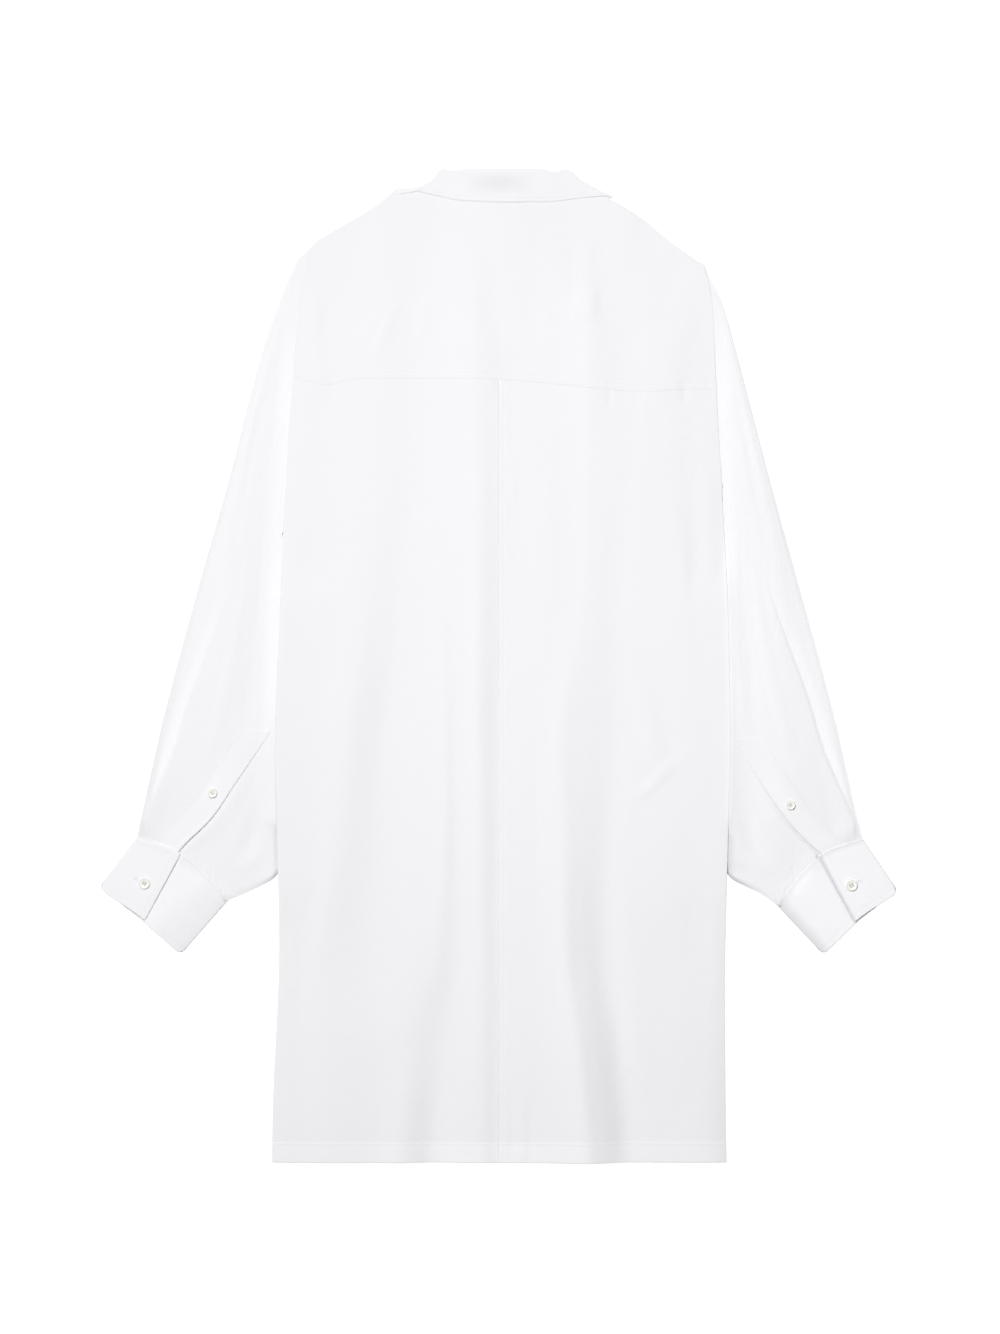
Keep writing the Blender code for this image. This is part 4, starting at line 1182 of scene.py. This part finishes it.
def cuff_plan(side, share, part):
    """Plan of a cuff: `share` outer fold to inner fold, `part` seam to hem."""
    seam, hem = trace(CUFF_SEAM[side], share), trace(CUFF_HEM[side], share)
    return tuple(a + part * (b - a) for a, b in zip(seam, hem))


def cuff_path():
    """Stops round a cuff as (stretch, place): the under end, two folds and the upper end."""
    path = [("mid", n / 72) for n in range(73)]
    path += [("inner", n / 8) for n in range(1, 8)]
    path += [("low", n / 24) for n in range(25)]
    path += [("outer", n / 8) for n in range(1, 8)]
    return path + [("high", n / 30) for n in range(31)] + [("end", n / 3) for n in (1, 2, 3)]


def rounded(share, part):
    """The same place on a cuff whose two corners at the hem are rounded."""
    for fold, radius in CUFF_CORNERS:
        a, b = abs(share - fold) * CUFF_ROUND, (1 - part) * CUFF_DEEP
        if -3.0 < a < radius and b < radius:
            px, py = radius - a, radius - b
            shrink = max(px, py) / math.hypot(px, py)
            share = fold + (1 - 2 * fold) * (radius - px * shrink) / CUFF_ROUND
            part = 1 - (radius - py * shrink) / CUFF_DEEP
    return share, part


def cuff_spot(side, stop, part):
    """A place on a cuff: `stop` round it, `part` from its seam to its hem."""
    stretch, at = stop
    over, under = between(*OVERLAP, part), between(*UNDERLAP, part)
    angle = at * math.pi
    swell = fade(part, 0.015, 0.15)      # of the gathered sleeve inside
    high_z = CUFF_HIGH + (0.4 - 0.15 * side) * swell
    flap = 0.0
    if stretch == "mid":
        share = under + at * (1 - under)
        bulge = math.sin(math.pi * onset(share, 0.42, 0.58))
        z = CUFF_MID + 1.25 * swell + 3.2 * bulge * (1 - 0.75 * swell)
        z += 2.0 * onset((share - over) * CUFF_ROUND, 2.6, 2.0) * fade(share, over, 0.3)
        rounding = math.sqrt(max(1 - max((share - 0.78) / 0.22, 0) ** 2, 0.04))
        z = CUFF_LOW + 0.5 + (z - CUFF_LOW - 0.5) * rounding
    elif stretch == "inner":
        share = 1.0 + math.sin(angle) * 0.9 / CUFF_ROUND
        z = CUFF_LOW + 0.35 * (1 + math.cos(angle))
    elif stretch == "low":
        share = 1 - at
        z = CUFF_LOW
    elif stretch == "outer":
        share = -math.sin(angle) * 1.6 / CUFF_ROUND
        z = (CUFF_LOW + high_z) / 2 - (high_z - CUFF_LOW) / 2 * math.cos(angle)
    else:
        share = over * at if stretch == "high" else over + at * 1.6 / CUFF_ROUND
        flap = smooth(part * 1.5) * smooth(share / over * 1.3 - 0.2)
        z = high_z + 0.9 * math.sin(math.pi * min(share / over, 1) * 0.75)
        z += 0.5 * onset(share / over, 0.55, 0.45) * part
        z -= 0.5 * at if stretch == "end" else 0.0
    share, hem_part = rounded(share, part)
    out, down = cuff_plan(side, share, hem_part * (1 - 0.026 * flap) - 0.012)
    edge = min(part, 1 - part) * CUFF_DEEP
    if stretch in ("mid", "high"):
        z -= roll(edge, 0.9, 0.3 if part > 0.5 else 0.1) + 0.12 * bell(edge - CUFF_ROW, 0.7)
        z += 0.18 * uneven(out / 13, down / 13, 2.2 * side)
    # The cuff is whiter for its double cloth; the right one is painted a little whiter, and painted
    # shade darkens the roll at the inner fold and the seam.
    inner = onset(share, 0.87, 0.14) if stretch == "mid" else 0.0
    seamed = fade(edge, 0.8, 2.0) if part < 0.5 else 0.0
    painted_seam_shade = 1.3 + (1.5 if stretch == "high" else 0.3) * side
    white = 1.25 + 0.2 * side - (2.9 + 1.4 * side) * inner - painted_seam_shade * seamed
    if side > 0:         # painted shadow along the opening line of this cuff
        white -= {"mid": 6.0 * bell((share - over) * CUFF_ROUND - 0.4, 1.8), "end": 6.0 * at,
                  "high": 2.5 * onset(share / over, 0.965, 0.035)}.get(stretch, 0.0)
    return side * out, down, z, white


def cuff_cut(stop, part):
    stretch, at = stop
    start, length = CUFF_CUT[stretch]
    return (start + at * length) * CUFF_ROUND, part * CUFF_DEEP


cuffs = {}
for side, word in SIDES.items():
    cuff = cloth_sheet(f"cuff_band_{word}", cuff_path()[::-side],
                       mesh_lines(CUFF_DEEP, 2.4, (CUFF_ROW, CUFF_DEEP - CUFF_ROW)),
                       partial(cuff_spot, side), cuff_poplin, cuff_cut, CUFF_WALL, 0)
    cuffs[side] = cuff
    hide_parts(f"cuff_{word}")
    plans = []
    for part in (CUFF_ROW / CUFF_DEEP, 1 - CUFF_ROW / CUFF_DEEP):
        over = between(*OVERLAP, part)
        for a, b in ((0.03, over - 0.02), (over + 0.05, 0.95)):
            plans.append([cuff_plan(side, a + (b - a) * n / 12, part) for n in range(13)])
    plans.append([cuff_plan(side, between(*OVERLAP, t) - 0.042, 0.05 + 0.9 * t)
                  for t in (0, 0.5, 1)])
    paths = [[(side * out, down) for out, down in plan] for plan in plans]
    (out_a, down_a), (out_b, down_b) = cuff_plan(side, 0.35, 0.5), cuff_plan(side, 0.1, 0.5)
    way = Vector((side * (out_b - out_a), down_b - down_a)).normalized()
    start = Vector((side * CUFF_BUTTON[side][0], CUFF_BUTTON[side][1])) - way * 1.5
    rows = stitching(f"cuff_rows_{word}", surface(cuff), paths, [(start, way, CUFF_HOLE)])

# ---- sleeve plackets ---------------------------------------------------------
# A doubled strip of the same cotton along the slit of each sleeve, laid on the upper layer and
# edge-stitched, with its foot held in the cuff's seam and one small button halfway.
PLACKET_WIDE, PLACKET_LONG = 27.0, 138.0
PLACKET_ROW = 1.8         # stitching, in from the edges
PLACKET_FOOT = 0.2        # this share of the strip turns aside into the cuff's seam
PLACKET_HOLE = 12         # length of its buttonhole
SLEEVE_BUTTON = {-1: (285.5, 623), 1: (291.5, 635)}


def placket_plan(side, across, part):
    here = Vector(trace(SLIT[side], part))
    ahead = Vector(trace(SLIT[side], min(part + 0.02, 1.0)))
    behind = Vector(trace(SLIT[side], max(part - 0.02, 0.0)))
    along = (ahead - behind).normalized()
    return here + Vector((-along.y, along.x)) * (across * PLACKET_WIDE), along


def placket_spot(side, height, across, part):
    """A place on a placket: `height` gives the sleeve beneath, `part` runs from cuff to point."""
    spot, along = placket_plan(side, across, max(part, PLACKET_FOOT))
    if part < PLACKET_FOOT:
        t = part / PLACKET_FOOT
        foot = Vector(cuff_plan(side, OVERLAP[0] - 0.012 - 0.225 * across, 0.02))
        bend = placket_plan(side, across, PLACKET_FOOT / 2)[0] - (foot + spot) / 2
        spot = foot + t * (spot - foot) + 4 * t * (1 - t) * bend * (1 - across)
    spot += along * (15 * (1 - across) * onset(part, 0.8, 0.2))
    x, down = side * spot.x, spot.y
    ground = [height(x + dx, down + dy) for dx, dy in ((0, 0), (3, 3), (-3, 3), (3, -3), (-3, -3))]
    ground = [g for g in ground if g is not None]
    in_by = across * PLACKET_WIDE
    proud = 0.85 - 0.75 * onset(across, 0.5, 0.5) - 0.5 * onset(part, 0.75, 0.25)
    proud += 0.7 * fade(in_by, 0, 9.0) * (1 - smooth(part * 1.4))
    z = sum(ground) / len(ground) + max(proud, 0.1) - 0.5 * fade(part * PLACKET_LONG, 0, 6)
    white = 0.5 * fade(across, 0.55, 0.45) * fade(part, 0.55, 0.35)
    # painted shade along the placket's slit edge
    white -= PAINTED_SLIT_SHADE[side] * fade(in_by, 0, 1.6) * fade(part, 0.6, 0.3)
    return x, down, z - roll(in_by, 0.9, 0.3), 0.4 + white


plackets = {}
for side, word in SIDES.items():
    on_sleeve = surface(bpy.data.objects[f"sleeve_tube_{word}"])
    across = mesh_lines(PLACKET_WIDE, 2.2, (2.0, PLACKET_WIDE - 2.0))[::-side]
    placket = cloth_sheet(f"sleeve_slit_strip_{word}", across, mesh_lines(PLACKET_LONG, 3.0),
                          partial(placket_spot, side, on_sleeve), cuff_poplin, None, 0.6, -1)
    plackets[side] = placket
    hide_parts(f"sleeve_placket_{word}")
    paths = [[placket_spot(side, on_sleeve, share, n / 20)[:2] for n in range(1, 19)]
             for share in (PLACKET_ROW / PLACKET_WIDE, 1 - PLACKET_ROW / PLACKET_WIDE)]
    out, down = SLEEVE_BUTTON[side]
    along = placket_plan(side, 0.5, 0.5)[1]
    start = (side * (out - PLACKET_HOLE / 2 * along.x), down - PLACKET_HOLE / 2 * along.y)
    rows = stitching(f"sleeve_slit_rows_{word}", surface(placket), paths,
                     [(start, (side * along.x, along.y), PLACKET_HOLE)])

# ---- buttons -----------------------------------------------------------------
# Four-hole shell buttons with a raised rim, 18 line on the cuffs and the front and 14 line on
# the sleeves, each sewn on with white thread.
BUTTON_WIDE = 11.4
BUTTON_SMALL = 9.2
HOLE_OUT = 0.135          # shares of a button's width: a hole from its middle, and half a hole
HOLE_RADIUS = 0.085
THREAD_TOP = BUTTON_THICK - 0.42

shell = Finish("button shell", Coat_Roughness=0.12, IOR=1.55)
shell_place = shell.add("ShaderNodeTexCoord", {}, {}, "Object")
layers = shell.noise(shell_place, 260.0, 3.0)
speckle = shell.noise(shell_place, 1500.0, 2.0)
pearl = shell.mix(layers, (0.86, 0.86, 0.80, 1.0), (0.79, 0.79, 0.70, 1.0))
shell.set("Base Color", shell.mix(speckle * 0.4, pearl, (0.93, 0.93, 0.90, 1.0)))
shell.set("Roughness", 0.34 + speckle * 0.16)
shell.set("Coat Weight", 0.1 + layers * 0.15)
shell.set("Normal", shell.bump(speckle * 0.00002))


def lathe(bm, profile, steps):
    """Spin a profile of (radius, height) millimetres round the vertical."""
    verts = [bm.verts.new((r * MM, 0, h * MM)) for r, h in profile]
    edges = [bm.edges.new(pair) for pair in zip(verts, verts[1:])]
    bmesh.ops.spin(bm, geom=verts + edges, cent=(0, 0, 0), axis=(0, 0, 1), dvec=(0, 0, 0),
                   angle=2 * math.pi, steps=steps, use_merge=True)
    bmesh.ops.remove_doubles(bm, verts=bm.verts[:], dist=0.01 * MM)
    bmesh.ops.recalc_face_normals(bm, faces=bm.faces[:])


def button_mesh(width):
    """A button with its four holes cut through, rim up, its back at nought."""
    radius, thick = width / 2, BUTTON_THICK
    profile = (          # share of the radius, height
        (0, 0.25), (0.55, 0.1), (0.8, 0.1), (0.96, 0.5), (1, 1.0), (0.985, 1.5), (0.93, 1.95),
        (0.86, thick), (0.79, thick - 0.1), (0.70, thick - 0.35), (0.58, thick - 0.5),
        (0, thick - 0.6))
    bm = bmesh.new()
    lathe(bm, [(radius * out, up) for out, up in profile], 36)
    drill = bmesh.new()
    for n in range(4):
        turn = Matrix.Rotation(math.pi / 4 + n * math.pi / 2, 4, "Z")
        at = turn @ Matrix.Translation((2 * HOLE_OUT * radius * MM, 0, thick / 2 * MM))
        bmesh.ops.create_cone(drill, cap_ends=True, segments=12, radius1=HOLE_RADIUS * width * MM,
                              radius2=HOLE_RADIUS * width * MM, depth=2 * thick * MM, matrix=at)
    blank = put("button blank", mesh_of("button disc", bm))
    cutter = put("button drill", mesh_of("button holes", drill))
    bore = blank.modifiers.new("holes", "BOOLEAN")
    bore.object = cutter
    bore.solver = "EXACT"
    bpy.context.view_layer.update()
    bored = blank.evaluated_get(bpy.context.evaluated_depsgraph_get())
    made = bpy.data.meshes.new_from_object(bored)
    for obj in (blank, cutter):
        bpy.data.objects.remove(obj, do_unlink=True)
    return made


button_meshes = {width: button_mesh(width) for width in (BUTTON_WIDE, BUTTON_SMALL)}


def add_button(node, x, down, seat, width, tilt=0.0, rim_up=True):
    """One button and the thread that holds it; `seat` is the height of its back."""
    turn = Matrix.Rotation(tilt, 4, "Z")
    if not rim_up:
        turn = turn @ Matrix.Rotation(math.pi, 4, "X")
    place = Matrix.Translation(to_frame(x, down, seat) * MM) @ turn
    bm = bmesh.new()
    bm.from_mesh(button_meshes[width])
    bmesh.ops.transform(bm, matrix=place, verts=bm.verts[:])
    button = add_piece(f"{node}_shell", bm, shell.material, 35)
    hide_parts(node)
    top = Vector((0, 0, THREAD_TOP))
    holes = [Vector((math.cos(a), math.sin(a), 0)) * width * HOLE_OUT
             for a in (math.pi / 4 + n * math.pi / 2 for n in range(4))]
    bm = bmesh.new()
    for a, b in ((0, 1), (2, 3)):
        for lane in (-0.22, 0.0, 0.22):
            aside = Vector((0, lane, 0))
            thread_run(bm, holes[a] + aside + top, holes[b] + aside + top, 0.2)
    for hole in holes:
        thread_run(bm, hole + top, hole + Vector((0, 0, 0.1)), 0.062 * width)
    bmesh.ops.transform(bm, matrix=place, verts=bm.verts[:])
    add_piece(f"{node}_thread", bm, thread.material)


bpy.context.view_layer.update()
for side, word in SIDES.items():
    for node, width, (out, down), carrier, tilt in (
            (f"cuff_button_{word}", BUTTON_WIDE, CUFF_BUTTON[side], cuffs[side], 0.5),
            (f"sleeve_button_{word}", BUTTON_SMALL, SLEEVE_BUTTON[side], plackets[side], 0.9)):
        face = surface(carrier)
        around = [face(side * out + dx, down + dy) for dx in (-4, 0, 4) for dy in (-4, 0, 4)]
        seat = max(z for z in around if z is not None) + 0.15
        add_button(node, side * out, down, seat, width, side * tilt)
for n in range(FRONT_BUTTONS):
    add_button(f"front_button_{n + 1}", CENTRE, FIRST_BUTTON + n * BUTTON_STEP, BUTTON_THICK,
               BUTTON_WIDE, rim_up=False)
add_button("stand_button", CENTRE, sum(STAND_FRONT) / 2, BUTTON_THICK, BUTTON_WIDE, rim_up=False)

# ---- floor, light and camera -------------------------------------------------
# A plain white table that glows a little, one broad soft light beyond the collar, a weak even
# fill, and a camera straight above.
floor_bm = bmesh.new()
bmesh.ops.create_grid(floor_bm, x_segments=1, y_segments=1, size=6.0)
floor = put("table top", mesh_of("table top", floor_bm))
floor.location.z = -0.0006
table = Finish("white table", Roughness=0.9, Emission_Strength=1.0)
grain = table.noise(table.add("ShaderNodeTexCoord", {}, {}, "Object"), 2.0)
table.set("Base Color", table.mix(grain, (0.30, 0.30, 0.30, 1.0), (0.32, 0.32, 0.32, 1.0)))
table.set("Emission Color", (0.95, 0.95, 0.95, 1.0))
floor.data.materials.append(table.material)

world = bpy.data.worlds.new("soft fill")
world.use_nodes = True
glow = world.node_tree.nodes["Background"].inputs
glow["Color"].default_value = (1.0, 1.0, 1.0, 1.0)
glow["Strength"].default_value = 0.30
bpy.context.scene.world = world

LIGHT_AT = Vector((-0.55, 0.7, 2.5))
LIGHT_AIM = Vector((2.5, -1.6, 0.0))    # well to one side, so that it falls evenly on both
key_data = bpy.data.lights.new("soft box", "AREA")
key_data.shape = "DISK"
key_data.size = 1.0
key_data.energy = 81.5
key = put("soft box", key_data)
key.location = LIGHT_AT
key.rotation_mode = "QUATERNION"
key.rotation_quaternion = (LIGHT_AIM - LIGHT_AT).to_track_quat("-Z", "Y")
key.visible_camera = False

VIEW_HIGH = 1.334                         # metres that the view spans from top to bottom
VIEW_CENTRE = (0.0015, -0.001)
VIEW_HEIGHT = 4.0
camera_data = bpy.data.cameras.new("overhead")
camera_data.lens = camera_data.sensor_width * VIEW_HEIGHT / VIEW_HIGH
camera = put("overhead", camera_data)
camera.location = (*VIEW_CENTRE, VIEW_HEIGHT)
bpy.context.scene.camera = camera
bpy.context.scene.view_settings.view_transform = "Standard"
